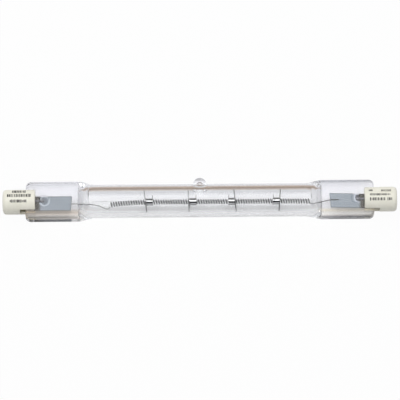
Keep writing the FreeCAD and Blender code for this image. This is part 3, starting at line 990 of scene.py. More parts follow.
@dataclass
class Envelope:
    """The quartz glass: a round tube pressed flat at both ends, with its hollow.

    Sizes are in millimetres. The section has the same points all along: those on a pinch's
    rounded corners lie where the round tube is far from both of the pinch's own axes.
    """

    material: Material
    tip: Tip = Tip()
    dimple: Dimple = Dimple()
    tube_radius: float = 4.998
    bore_radius: float = 3.5
    barrel_half: float = 33.6
    widen_from: float = 31.2
    thinning: float = 0.4
    pinch_start: float = 36.4
    pinch_end: float = 52.0
    pinch_half_thickness: float = 1.65
    edge_radius: float = 1.0
    corner_radius: float = 1.6
    face_radius: float = 0.45
    side_degrees: float = 20.0
    corner_steps: int = 16
    side_steps: tuple[int, int] = (22, 12)
    tube_step: float = 0.8
    shoulder_from: float = 30.8
    shoulder_step: float = 0.28
    pinch_from: float = 36.8
    pinch_steps: int = 26
    pinch_end_degrees: tuple[int, ...] = (14, 28, 42, 54, 64, 72, 78, 83, 87, 90)
    flatten_from: float = 33.1
    bore_end: float = 35.9
    slit_half: float = 0.4
    slit_shares: tuple[float, ...] = (0.3, 0.6, 0.8, 0.92, 0.98)
    slit_end: float = 0.02
    hollow_corner: float = 1.4
    hollow_taper: float = 0.6
    hollow_rounding: float = 0.7
    hollow_points: int = 96
    hollow_even: int = 40
    hollow_steps: int = 22

    @cached_property
    def section(self) -> list[tuple[float, tuple[int, bool, float]]]:
        """The section's points.

        Returns:
            Each point's angle on the round tube, and its place on the flat pinch: its quarter,
            whether it is on a corner, and the share of that corner or side.
        """
        made = []
        for number in range(4):
            for step in range(self.corner_steps):
                share = step / self.corner_steps
                angle = 90 * number + self.side_degrees + share * (90 - 2 * self.side_degrees)
                made.append((angle, (number, True, share)))
            side_steps = self.side_steps[number % 2]
            for step in range(side_steps):
                share = step / side_steps
                angle = 90 * (number + 1) - self.side_degrees + share * 2 * self.side_degrees
                made.append((angle, (number, False, share)))
        return made

    def turned(self, x: float, w: float, t: float) -> Vector:
        """The point at X, W across and T through the section, whose roll changes evenly."""
        left, right = ENDS[Side.LEFT].roll, ENDS[Side.RIGHT].roll
        share = (x + self.barrel_half) / (2 * self.barrel_half)
        return rolled(x, w, t, left + min(max(share, 0.0), 1.0) * (right - left))

    def flat_point(
        self, place: tuple[int, bool, float], half_width: float, half_height: float, corner: float
    ) -> tuple[float, float]:
        """A point of a rounded rectangle.

        Args:
            place: Its quarter, whether it is on a corner, and the share of that corner or side.
            half_width: Half the rectangle's width.
            half_height: Half its height.
            corner: Its corners' radius.

        Returns:
            The point's place across and through the section.
        """
        number, on_corner, share = place

        def corner_point(which: int, angle: float) -> tuple[float, float]:
            """A point of the corner in some quarter, at an angle from that quarter's start."""
            turn = math.radians(90 * which + angle)
            w = (half_width - corner) * (1 if which % 4 in (0, 3) else -1)
            t = (half_height - corner) * (1 if which % 4 in (0, 1) else -1)
            return w + corner * math.cos(turn), t + corner * math.sin(turn)

        if on_corner:
            return corner_point(number, 90 * share)
        start, end = corner_point(number, 90), corner_point(number + 1, 0)
        return start[0] + share * (end[0] - start[0]), start[1] + share * (end[1] - start[1])

    def outer_ring(self, x: float) -> list[Vector]:
        """The outside's ring at X.

        Args:
            x: Its place along the lamp.

        Returns:
            The ring's points.
        """
        distance = abs(x)
        blend = smooth_step((distance - self.barrel_half) / (self.pinch_start - self.barrel_half))
        widening = smooth_step(
            (distance - self.widen_from) / (self.pinch_start - self.widen_from)
        )
        past = distance - self.pinch_end
        plan = round_inset(past + self.corner_radius, self.corner_radius)
        thin = round_inset(past + self.face_radius, self.face_radius)
        half_width = ENDS[Side.LEFT if x < 0 else Side.RIGHT].pinch_half_width - plan
        half_height = self.pinch_half_thickness - thin
        corner = min(self.edge_radius, half_height)
        spread = (half_width - self.tube_radius) * widening
        wide, high = self.tube_radius + spread, self.tube_radius - self.thinning * spread
        ring = []
        for angle, place in self.section:
            turn = math.radians(angle)
            w, t = self.flat_point(place, half_width, half_height, corner)
            ring.append(self.turned(
                x,
                wide * math.cos(turn) * (1 - blend) + w * blend,
                high * math.sin(turn) * (1 - blend) + t * blend,
            ))
        return ring

    def outer_places(self) -> list[float]:
        """Where the outside's rings lie on one half, from the middle outwards.

        Returns:
            Their places along X.
        """
        tube_rings = int(self.shoulder_from / self.tube_step)
        shoulder_rings = round((self.pinch_start - self.shoulder_from) / self.shoulder_step)
        places = [self.tube_step * i for i in range(1, tube_rings + 1)]
        places += [self.shoulder_from + self.shoulder_step * i for i in range(shoulder_rings + 1)]
        start = self.pinch_from
        length = self.pinch_end - self.corner_radius - start
        places += [start + length * i / self.pinch_steps for i in range(self.pinch_steps + 1)]
        places += [self.pinch_end - self.corner_radius * (1 - math.sin(math.radians(a)))
                   for a in self.pinch_end_degrees]
        return places

    def outside(self) -> Skin:
        """The outer skin, with its tip and the dents in the front of the pinches.

        Returns:
            The skin.
        """
        half = self.outer_places()
        places = [-x for x in reversed(half)] + [0.0] + half
        skin = Skin([self.outer_ring(x) for x in places])
        tip = self.tip
        self.raise_tip(skin, places, self.tube_radius, tip.rings, tip.dome, tip.fillet)
        for side in Side:
            self.press_dimple(skin, places, side)
        return skin

    def raise_tip(
        self,
        skin: Skin,
        places: Sequence[float],
        radius: float,
        rings: Sequence[float],
        height: Callable[[float], float],
        fillet: float,
    ) -> None:
        """Grows the tip, or its hole, out of a round skin.

        Args:
            skin: The skin.
            places: Where its rings lie along X.
            radius: Its radius there.
            rings: The patch's radii, largest first.
            height: The tip's height at a radius from its axis.
            fillet: How far the two run into each other.
        """
        reach = rings[0] + self.tip.margin
        rows = [i for i, x in enumerate(places) if abs(x) <= reach + self.tube_step]
        tip_turn = math.radians(self.tip.angle)
        out = Vector((0, math.cos(tip_turn), math.sin(tip_turn)))
        across = Vector((0, -math.sin(tip_turn), math.cos(tip_turn)))
        middle = len(places) // 2
        near = []
        for column in range(skin.count):
            point = skin.points[skin.number(middle, column)]
            if point.dot(out) > 0 and abs(point.dot(across)) <= reach:
                near.append(column)
        if near[0] == 0:
            wrap = next(i for i in range(1, len(near)) if near[i] != near[i - 1] + 1)
            near = [c - skin.count for c in near[wrap:]] + near[:wrap]
        loop = skin.window((rows[0], rows[-1]), (near[0] - 1, near[-1] + 1))

        def place(u: float, v: float) -> Vector:
            """The point of the tip at U along the lamp and V across it."""
            rise = smooth_max(math.sqrt(radius**2 - v**2), height(math.hypot(u, v)), fillet)
            return Vector((u, 0, 0)) + across * v + out * rise

        skin.patch(loop, rings, lambda point: (point.x, point.dot(across)), place)

    def press_dimple(self, skin: Skin, places: Sequence[float], side: Side) -> None:
        """Presses the dent into the front of one pinch.

        Args:
            skin: The outer skin.
            places: Where its rings lie along X.
            side: The end of the lamp.
        """
        end = ENDS[side]
        centre = side.value * self.dimple.distance
        reach = self.dimple.rings[0] + self.dimple.margin
        inside = [i for i, x in enumerate(places) if abs(x - centre) < reach]
        middle = inside[len(inside) // 2]
        across, up = end.at(0, 1, 0), end.at(0, 0, 1)
        ring = [skin.points[skin.number(middle, column)] for column in range(skin.count)]
        face = self.pinch_half_thickness - TOUCHING
        front = [
            column for column, point in enumerate(ring)
            if point.dot(up) > face and abs(point.dot(across)) < reach
        ]
        loop = skin.window((inside[0] - 1, inside[-1] + 1), (front[0] - 1, front[-1] + 1))

        def place(u: float, v: float) -> Vector:
            """The point of the face at U along the lamp and V across it from the dent."""
            height = self.pinch_half_thickness + self.dimple.height(math.hypot(u, v))
            return Vector((centre + u, 0, 0)) + across * v + up * height

        skin.patch(
            loop, self.dimple.rings, lambda point: (point.x - centre, point.dot(across)), place
        )

    def hollow_ring(self, x: float) -> list[Vector]:
        """The hollow's ring at X, which flattens softly to a slit at the pinch.

        Args:
            x: Its place along the lamp.

        Returns:
            The ring's points.
        """
        distance = abs(x)
        share = smooth_step((distance - self.flatten_from) / (self.bore_end - self.flatten_from))
        half_height = self.bore_radius + share * (self.slit_half - self.bore_radius)
        past = max(distance - self.bore_end, 0.0) / self.slit_half
        half_height *= math.sqrt(max(1 - past**2, self.slit_end**2))
        end = self.bore_end + self.slit_half
        inset = round_inset(distance - end + self.hollow_corner, self.hollow_corner)
        half_width = self.bore_radius - self.hollow_taper * inset
        ring = []
        for cosine, sine in circle(self.hollow_points):
            t = self.bore_radius * sine
            if share > 0:
                rounding = self.hollow_rounding * half_height
                t = math.copysign(smooth_min(abs(t), half_height, rounding), t)
            ring.append(self.turned(x, half_width * cosine, t))
        return ring

    def inside(self) -> Skin:
        """The skin round the hollow, with the tip's hole.

        Returns:
            The skin.
        """
        half = [self.tube_step * i for i in range(1, self.hollow_even + 1)]
        start, steps = half[-1], self.hollow_steps
        half += [start + (self.bore_end - start) * i / steps for i in range(1, steps + 1)]
        half += [self.bore_end + self.slit_half * share for share in self.slit_shares]
        places = [-x for x in reversed(half)] + [0.0] + half
        skin = Skin([self.hollow_ring(x) for x in places])
        tip = self.tip
        self.raise_tip(skin, places, self.bore_radius, tip.hole_rings, tip.hole, tip.hole_fillet)
        return skin

    def build(self) -> None:
        """Makes the glass as one piece with two skins."""
        outside, inside = self.outside(), self.inside()
        start = len(outside.points)
        faces = outside.faces()
        faces += [[start + n for n in face] for face in inside.faces(inside_out=True)]
        points = outside.points + inside.points
        glass = mesh_object("quartz_glass", points, faces, self.material)
        seat(glass, "quartz", "quartz_envelope")


def geometry_tree(name: str, inputs: dict[str, str]) -> Group:
    """Starts a Geometry Nodes tree that takes a finish and puts out a mesh."""
    sockets = {**inputs, "Finish": "Material"}
    return Group("GeometryNodeTree", name, sockets, {"Mesh": "Geometry"})


def end_tree(group: Group, geometry: Socket) -> bpy.types.NodeTree:
    """Ends such a tree: makes what it holds real, gives it the finish and puts it out.

    Args:
        group: The tree's nodes.
        geometry: What it has made.

    Returns:
        The finished tree.
    """
    real = group.node("GeometryNodeRealizeInstances", {"Geometry": geometry})
    finish = group.node(
        "GeometryNodeSetMaterial",
        {"Geometry": real.outputs[0], "Material": group.inputs["Finish"]},
    )
    group.give("Mesh", finish.outputs[0])
    return group.tree


def wire_tree() -> bpy.types.NodeTree:
    """The tree that turns a line of edges into a round wire.

    Returns:
        The tree.
    """
    group = geometry_tree("RoundWire", {"Line": "Geometry", "Radius": "Float", "Sides": "Int"})
    line = group.node("GeometryNodeMeshToCurve", {"Mesh": group.inputs["Line"]})
    ring = group.node(
        "GeometryNodeCurvePrimitiveCircle",
        {"Resolution": group.inputs["Sides"], "Radius": group.inputs["Radius"]},
    )
    tube = group.node(
        "GeometryNodeCurveToMesh",
        {"Curve": line.outputs[0], "Profile Curve": ring.outputs[0], "Fill Caps": True},
    )
    smooth = group.node("GeometryNodeSetShadeSmooth", {"Geometry": tube.outputs[0]})
    return end_tree(group, smooth.outputs[0])


def ink_tree() -> bpy.types.NodeTree:
    """The tree that adds a row of plain bars, each a little different, to what came before.

    Returns:
        The tree.
    """
    group = geometry_tree("InkRow", {
        "Before": "Geometry", "Count": "Int", "Start": "Vector", "Step": "Vector",
        "Turn": "Vector", "Bar": "Vector", "Least": "Vector", "Most": "Vector", "Seed": "Int",
    })
    given = group.inputs
    line = group.node(
        "GeometryNodeMeshLine",
        {"Count": given["Count"], "Start Location": given["Start"], "Offset": given["Step"]},
    )
    bar = group.node("GeometryNodeMeshCube", {"Size": given["Bar"]})
    vary = group.node(
        "FunctionNodeRandomValue",
        {0: given["Least"], 1: given["Most"], "Seed": given["Seed"]},
        data_type="FLOAT_VECTOR",
    )
    bars = group.node(
        "GeometryNodeInstanceOnPoints",
        {"Points": line.outputs[0], "Instance": bar.outputs[0], "Scale": vary.outputs[0]},
    )
    real = group.node("GeometryNodeRealizeInstances", {"Geometry": bars.outputs[0]})
    turned = group.node(
        "GeometryNodeTransform", {"Geometry": real.outputs[0], "Rotation": given["Turn"]}
    )
    joined = group.node("GeometryNodeJoinGeometry")
    for rows in (turned.outputs[0], given["Before"]):
        group.tree.links.new(rows, joined.inputs[0])
    return end_tree(group, joined.outputs[0])


def add_tree(made: Piece, tree: bpy.types.NodeTree, values: dict[str, Any]) -> None:
    """Adds a Geometry Nodes modifier.

    Args:
        made: The object that takes it.
        tree: Its tree.
        values: The tree's inputs by name.
    """
    modifier = made.modifiers.new(tree.name, "NODES")
    modifier.node_group = tree
    for item in tree.interface.items_tree:
        if item.in_out == "INPUT" and item.name in values:
            modifier[item.identifier] = values[item.name]


class WireWorks:
    """Makes round wires along lines of points."""

    def __init__(self) -> None:
        """Builds the tree once."""
        self.tree = wire_tree()

    def bend(
        self, name: str, lines: Sequence[Line], radius: float, material: Material, sides: int = 8
    ) -> Piece:
        """Bends a wire.

        Args:
            name: The piece's name.
            lines: Its runs, each a line of points in millimetres.
            radius: The wire's radius in millimetres.
            material: Its finish.
            sides: How many sides its round section has.

        Returns:
            The wire as plain mesh.
        """
        points: list[Vector] = []
        edges: list[tuple[int, int]] = []
        for line in lines:
            start = len(points)
            edges += [(start + i, start + i + 1) for i in range(len(line) - 1)]
            points += line
        made = new_object(name, new_mesh(name, points, edges, []))
        add_tree(made, self.tree, {"Radius": radius * MM, "Sides": sides, "Finish": material})
        return flatten(made)


def rounded_line(corners: Line, steps: int) -> list[Vector]:
    """A smooth line through corners.

    Args:
        corners: The points that it passes through.
        steps: How many stretches lie between two of them.

    Returns:
        The line's points.
    """
    padded = [corners[0] * 2 - corners[1], *corners, corners[-1] * 2 - corners[-2]]
    line = []
    for a, b, c, d in zip(padded, padded[1:], padded[2:], padded[3:]):
        for step in range(steps):
            s = step / steps
            line.append(
                0.5 * (2 * b + (c - a) * s + (2 * a - 5 * b + 4 * c - d) * s**2
                       + (3 * b - a - 3 * c + d) * s**3)
            )
    line.append(corners[-1])
    return line


@dataclass(frozen=True)
class Coil:
    """The filament's coil, in millimetres, which hangs lower beyond the outer supports."""

    wire_radius: float = 0.15
    radius: float = 0.66
    start: float = -26.9
    pitch: float = 0.745
    turns: int = 80
    steps: int = 18
    drop: float = 0.27
    left_droop: float = 0.80
    right_droop: float = 0.15
    outer_supports: tuple[float, float] = (-15.1, 22.9)

    def axis(self, x: float) -> Vector:
        """The coil's axis at X.

        Args:
            x: A place along the lamp.

        Returns:
            The point on the axis.
        """
        left, right = self.outer_supports
        end = self.start + self.pitch * self.turns
        drop = self.drop
        if x < left:
            drop += self.left_droop * ((left - x) / (left - self.start)) ** 2
        if x > right:
            drop += self.right_droop * ((x - right) / (end - right)) ** 2
        return Vector((x, -drop, 0))

    def line(self) -> list[Vector]:
        """The coil's line, from its near side at the left to its near side at the right.

        Returns:
            The line's points.
        """
        line = []
        for step in range(self.steps * self.turns + 1):
            turn = math.pi + 2 * math.pi * step / self.steps
            around = Vector((0, math.cos(turn), math.sin(turn))) * self.radius
            line.append(self.axis(self.start + self.pitch * step / self.steps) + around)
        return line


@dataclass
class Filament:
    """The tungsten wire: a coil, and two tails that are welded to the foils.

    A tail's places are distances along the lamp and across its pinch, in millimetres.
    """

    material: Material
    wires: WireWorks
    coil: Coil
    left_tail: Profile = ((39.5, -0.9), (37.9, -0.9), (34.6, -0.9))
    right_tail: Profile = ((41.6, -0.2), (39.2, -0.25), (36.4, -0.8), (35.4, -0.92))
    left_rise: Vector = Vector((0, 0.2, 0)).freeze()
    left_dip: Vector = Vector((0.85, 0.5, 0)).freeze()
    right_bend: Vector = Vector((33.7, -1.05, 0.1)).freeze()
    bend_steps: int = 6

    def tail_line(self, side: Side) -> list[Vector]:
        """A tail's straight run, from its end on the foil's back or front into the bore."""
        height = side.value * (FOIL_HALF_THICKNESS + self.coil.wire_radius)
        tail = self.left_tail if side is Side.LEFT else self.right_tail
        return [ENDS[side].at(distance, across, height) for distance, across in tail]

    def build(self) -> None:
        """Makes the filament."""
        coil = self.coil.line()
        left, right = self.tail_line(Side.LEFT), self.tail_line(Side.RIGHT)
        arch = (left[-1] + coil[0]) / 2 + self.left_rise
        first = rounded_line([*left, arch, coil[0] - self.left_dip, coil[0]], self.bend_steps)
        last = rounded_line([coil[-1], self.right_bend, *reversed(right)], self.bend_steps)
        line = first[:-1] + coil + last[1:]
        made = self.wires.bend("filament_coil", [line], self.coil.wire_radius, self.material)
        seat(made, "tungsten", "filament")


@dataclass(frozen=True)
class Support:
    """One filament support, in millimetres.

    Its ring crosses the lamp a little aslant, so it has two places from the support's middle.
    """

    number: int
    middle: float
    ring_side: int
    ring_far: float
    ring_near: float
    start_turn: float = 0.25


@dataclass
class Supports:
    """The wire supports: close turns on the filament, and a wide turn against the bore.

    Sizes are in millimetres; bore_radius is the close turns' own.
    """

    finishes: Finishes
    wires: WireWorks
    coil: Coil
    wire_radius: float = 0.095
    clamp_radius: float = 1.05
    bore_radius: float = 0.9
    clamp_length: float = 2.1
    clamp_turns: int = 7
    groove: float = 0.035
    groove_sharpness: int = 6
    ring_radius: float = 3.33
    stub: float = 0.95
    stub_turn: float = -0.25
    steps: int = 24
    turn_steps: int = 12
    sharp_from: float = 50.0
    places: tuple[Support, ...] = (
        Support(1, -15.1, -1, -1.55, -0.75),
        Support(2, -2.1, -1, -1.40, -1.10),
        Support(3, 9.6, 1, 0.55, 1.30),
        Support(4, 22.9, 1, 1.20, 0.70),
    )

    def lines(self, support: Support) -> list[list[Vector]]:
        """The support's cut end, and its ring from the close turns to the ring's end.

        Args:
            support: The support.

        Returns:
            The two runs of its wire.
        """
        centre = self.coil.axis(support.middle)
        ring_middle = (support.ring_far + support.ring_near) / 2
        ring_slant = (support.ring_far - support.ring_near) / 2

        def spot(turn: float, radius: float, along: float, share: float) -> Vector:
            """A point of the wire.

            Args:
                turn: How far it has gone round, in turns.
                radius: Its distance from the axis.
                along: Its place along the close turns.
                share: How far it has gone over from them to the ring.

            Returns:
                The point.
            """
            angle = 2 * math.pi * (turn + support.start_turn)
            y = radius * math.cos(angle)
            on_ring = ring_middle + ring_slant * y / self.ring_radius
            on_clamp = support.ring_side * along
            return Vector((
                support.middle + on_clamp * (1 - share) + on_ring * share,
                centre.y * (1 - share) + y,
                radius * math.sin(angle),
            ))

        start = self.wire_radius - self.clamp_length / 2
        inner = self.clamp_radius - self.wire_radius
        outer = self.clamp_radius + self.stub
        stub = [spot(self.stub_turn, radius, start, 0) for radius in (inner, outer)]
        half_steps, ring_steps = self.steps // 2, 2 * self.steps
        ring = []
        for step in range(half_steps + 1):
            share = step / half_steps
            radius = inner + share * (self.ring_radius - inner)
            ring.append(spot(share / 2, radius, -start, smooth_step(share)))
        for step in range(1, ring_steps):
            ring.append(spot(0.5 + step / ring_steps, self.ring_radius, 0, 1))
        return [stub, ring]

    def close_turns(self, support: Support) -> Piece:
        """The close turns on the filament, rolled flat outside with a fine groove between.

        Args:
            support: The support.

        Returns:
            The piece.
        """
        around, along = 2 * self.steps, self.turn_steps * self.clamp_turns
        half = self.clamp_length / 2
        stations = [(-half, self.bore_radius)]
        for step in range(along + 1):
            stations.append((-half + self.clamp_length * step / along, self.clamp_radius))
        stations.append((half, self.bore_radius))
        points = []
        for x, radius in stations:
            centre = self.coil.axis(support.middle + x)
            for step, (cosine, sine) in enumerate(circle(around)):
                turns = self.clamp_turns * x / self.clamp_length - step / around
                wave = max(math.cos(2 * math.pi * turns), 0.0) ** self.groove_sharpness
                depth = self.groove * wave if radius > self.bore_radius else 0.0
                points.append(centre + (radius - depth) * Vector((0, cosine, sine)))
        faces = wall(len(stations), around, closed=True)
        name = f"support_turns_{support.number}"
        made = mesh_object(name, points, faces, self.finishes.sleeve)
        return shade_by_angle(outward(made), self.sharp_from)

    def build(self) -> None:
        """Makes the supports."""
        for support in self.places:
            name = f"support_wire_{support.number}"
            lines = self.lines(support)
            wire = self.wires.bend(name, lines, self.wire_radius, self.finishes.tungsten)
            seat(wire, "tungsten", f"filament_support_{support.number}")
            seat(self.close_turns(support), "tungsten")


@dataclass(frozen=True)
class Foil:
    """One sealing foil, in millimetres, with its inner end's slant and its turn in degrees.

    Along it, distances are counted outwards from the lamp's middle.
    """

    start: float
    end: float
    shift: float
    half_width: float
    slant: float
    turn: float
    edge_half_thickness: float = 0.006
    end_feather: float = 0.3
    ripple: float = 0.02
    ripple_along: float = 5.0
    ripple_slant: float = 2.3
    ripple_across: float = 3.1
    ripple_shift: float = 1.7
    along: int = 48
    across: int = 16

    def spot(self, end: End, face: int, i: int, j: int) -> Vector:
        """A point of the foil.

        Args:
            end: The end of the lamp that it lies in.
            face: 1 for its front, -1 for its back.
            i: The point's number along it.
            j: The point's number across it.

        Returns:
            The point.
        """
        s, q = i / self.along, 2 * j / self.across - 1
        lean, middle = math.radians(self.turn), (self.end - self.start) / 2
        d = 2 * s * middle + (1 - s) * self.slant * q - middle
        w = q * self.half_width
        at_end = self.end_feather if i in (0, self.along) else 1
        feather = math.sqrt(max(1 - q**4, 0.0)) * at_end
        phase = self.ripple_along * s + self.ripple_slant * q + end.side.value
        wave = self.ripple * math.sin(phase) * math.sin(self.ripple_across * q + self.ripple_shift)
        edge = self.edge_half_thickness
        return end.at(
            self.start + middle + d * math.cos(lean) + w * math.sin(lean),
            self.shift + w * math.cos(lean) - d * math.sin(lean),
            face * (edge + (FOIL_HALF_THICKNESS - edge) * feather) + wave,
        )

    def sheet(self, end: End) -> tuple[list[Vector], list[list[int]]]:
        """The foil's points and faces: a thin sheet with feathered edges, a little wavy.

        Args:
            end: The end of the lamp that it lies in.

        Returns:
            The points, and lists of their numbers.
        """
        along, across = self.along, self.across
        points = [
            self.spot(end, face, i, j)
            for face in (1, -1) for i in range(along + 1) for j in range(across + 1)
        ]
        back = len(points) // 2
        faces = []
        for i in range(along):
            for j in range(across):
                a = i * (across + 1) + j
                quad = [a, a + 1, a + across + 2, a + across + 1]
                faces += [quad, [back + n for n in reversed(quad)]]
        rim = list(range(across))
        rim += [i * (across + 1) + across for i in range(along)]
        rim += [along * (across + 1) + j for j in range(across, 0, -1)]
        rim += [i * (across + 1) for i in range(along, 0, -1)]
        faces += [[b, a, back + a, back + b] for a, b in zip(rim, rim[1:] + rim[:1])]
        return points, faces


@dataclass(frozen=True)
class Lead:
    """An outer lead: a round wire, flattened where it is welded to the foil, in millimetres."""

    radius: float = 0.35
    start: float = 46.5
    end: float = 54.9
    height: float = LEAD_HEIGHT
    flattening: float = 0.25
    weld_length: float = 0.6
    weld_taper: float = 1.4
    nose: float = 0.3
    nose_blunt: float = 0.02
    sides: int = 24
    weld_step: float = 0.12
    weld_rings: int = 16
    places: tuple[float, ...] = (48.6, 49.2, 50.0, 51.0, 52.0, 53.0, 54.0, 54.6)

    def rings(self, end: End) -> list[list[Vector]]:
        """The lead's rings from its weld outwards.

        Args:
            end: The end of the lamp that it lies in.

        Returns:
            The rings.
        """
        rings = []
        weld_places = [self.start + self.weld_step * i for i in range(self.weld_rings)]
        for d in (*weld_places, *self.places, self.end):
            weld = 1 - smooth_step((d - self.start - self.weld_length) / self.weld_taper)
            into_nose = 1 - min((d - self.start) / self.nose, 1.0)
            radius = self.radius * math.sqrt(max(1 - into_nose**2, self.nose_blunt))
            wide, high = 1 + self.flattening * weld, 1 - self.flattening * weld
            rings.append([
                end.at(d, radius * wide * cosine, self.height + radius * high * sine)
                for cosine, sine in circle(self.sides)
            ])
        return rings


@dataclass
class Seals:
    """What the pinches seal: the foils and the outer leads."""

    finishes: Finishes
    left_foil: Foil = Foil(38.35, 49.6, -0.78, 2.3, -0.15, 0.0)
    right_foil: Foil = Foil(38.9, 49.5, -0.5, 2.2, -0.25, 1.8)
    lead: Lead = Lead()

    def build(self) -> None:
        """Makes both ends' foils and leads."""
        for side, foil in ((Side.LEFT, self.left_foil), (Side.RIGHT, self.right_foil)):
            points, faces = foil.sheet(ENDS[side])
            if side is Side.RIGHT:
                faces = [face[::-1] for face in faces]
            name = f"{side.title}_foil"
            seat(mesh_object(f"{name}_sheet", points, faces, self.finishes.foil),
                 "molybdenum", name)
            skin = Skin(self.lead.rings(ENDS[side]))
            faces = skin.faces(inside_out=side is Side.LEFT)
            name = f"{side.title}_outer_lead"
            seat(mesh_object(f"{name}_wire", skin.points, faces, self.finishes.lead),
                 "molybdenum", name)


@dataclass(frozen=True)
class CapBlock:
    """A cap's ceramic block, as distances from the lamp's middle and radii, in millimetres."""

    inner: float = 49.1
    slot_floor: float = 53.7
    outer: float = 58.8
    radius: float = 3.7
    slot_half: float = 1.8
    rim_radius: float = 1.1
    tongue_radius: float = 0.3
    recess_radius: float = 2.0
    recess_rim: float = 0.15
    contact_face: float = 57.1
    seat_radius: float = 1.83
    button_back: float = 56.3
    stem_radius: float = 0.88
    stem_end: float = 54.9
    lead_hole: float = 0.45
    overcut: tuple[float, float] = (0.5, 0.3)
    soft_edge: float = 0.07
    soft_from: float = 40.0
    sharp_from: float = 35.0
    steps: int = 96
    hole_steps: int = 32

    @property
    def profile(self) -> Profile:
        """The round block with its stepped hole, before it is slotted.

        Returns:
            The block's outline, from the inner end round to the axis again.
        """
        profile = [(self.inner, 0.0)]
        for cosine, sine in quarter(15):
            d = self.inner + self.tongue_radius * (1 - cosine)
            profile.append((d, self.radius - self.tongue_radius * (1 - sine)))
        for cosine, sine in quarter(10):
            d = self.outer - self.rim_radius * (1 - sine)
            profile.append((d, self.radius - self.rim_radius * (1 - cosine)))
        for cosine, sine in quarter(30):
            d = self.outer - self.recess_rim * (1 - cosine)
            profile.append((d, self.recess_radius + self.recess_rim * (1 - sine)))
        return profile + [
            (self.contact_face, self.recess_radius), (self.contact_face, self.seat_radius),
            (self.button_back, self.seat_radius), (self.button_back, self.stem_radius),
            (self.stem_end, self.stem_radius), (self.stem_end, 0.0),
        ]


@dataclass(frozen=True)
class Button:
    """A contact, slightly domed, as distances from the lamp's middle and radii."""

    stem: Profile = (
        (54.9, 0.0), (54.9, 0.75), (55.0, 0.85), (56.3, 0.85), (56.3, 1.7), (56.4, 1.8),
    )
    edge: tuple[float, float] = (56.85, 1.6)
    edge_radius: float = 0.2
    face: Profile = ((57.07, 1.2), (57.09, 0.7), (57.1, 0.3), (57.1, 0.0))
    sharp_from: float = 40.0
    steps: int = 64

    @property
    def profile(self) -> Profile:
        """The contact's outline, from its stem's end to the middle of its face.

        Returns:
            The outline.
        """
        d, radius = self.edge
        edge = [
            (d + self.edge_radius * sine, radius + self.edge_radius * cosine)
            for cosine, sine in quarter(15)
        ]
        return [*self.stem, *edge, *self.face]


@dataclass(frozen=True)
class InkRow:
    """A row of plain bars of ink on a cap, in millimetres."""

    first: float
    last: float
    across: float
    height: float
    count: int


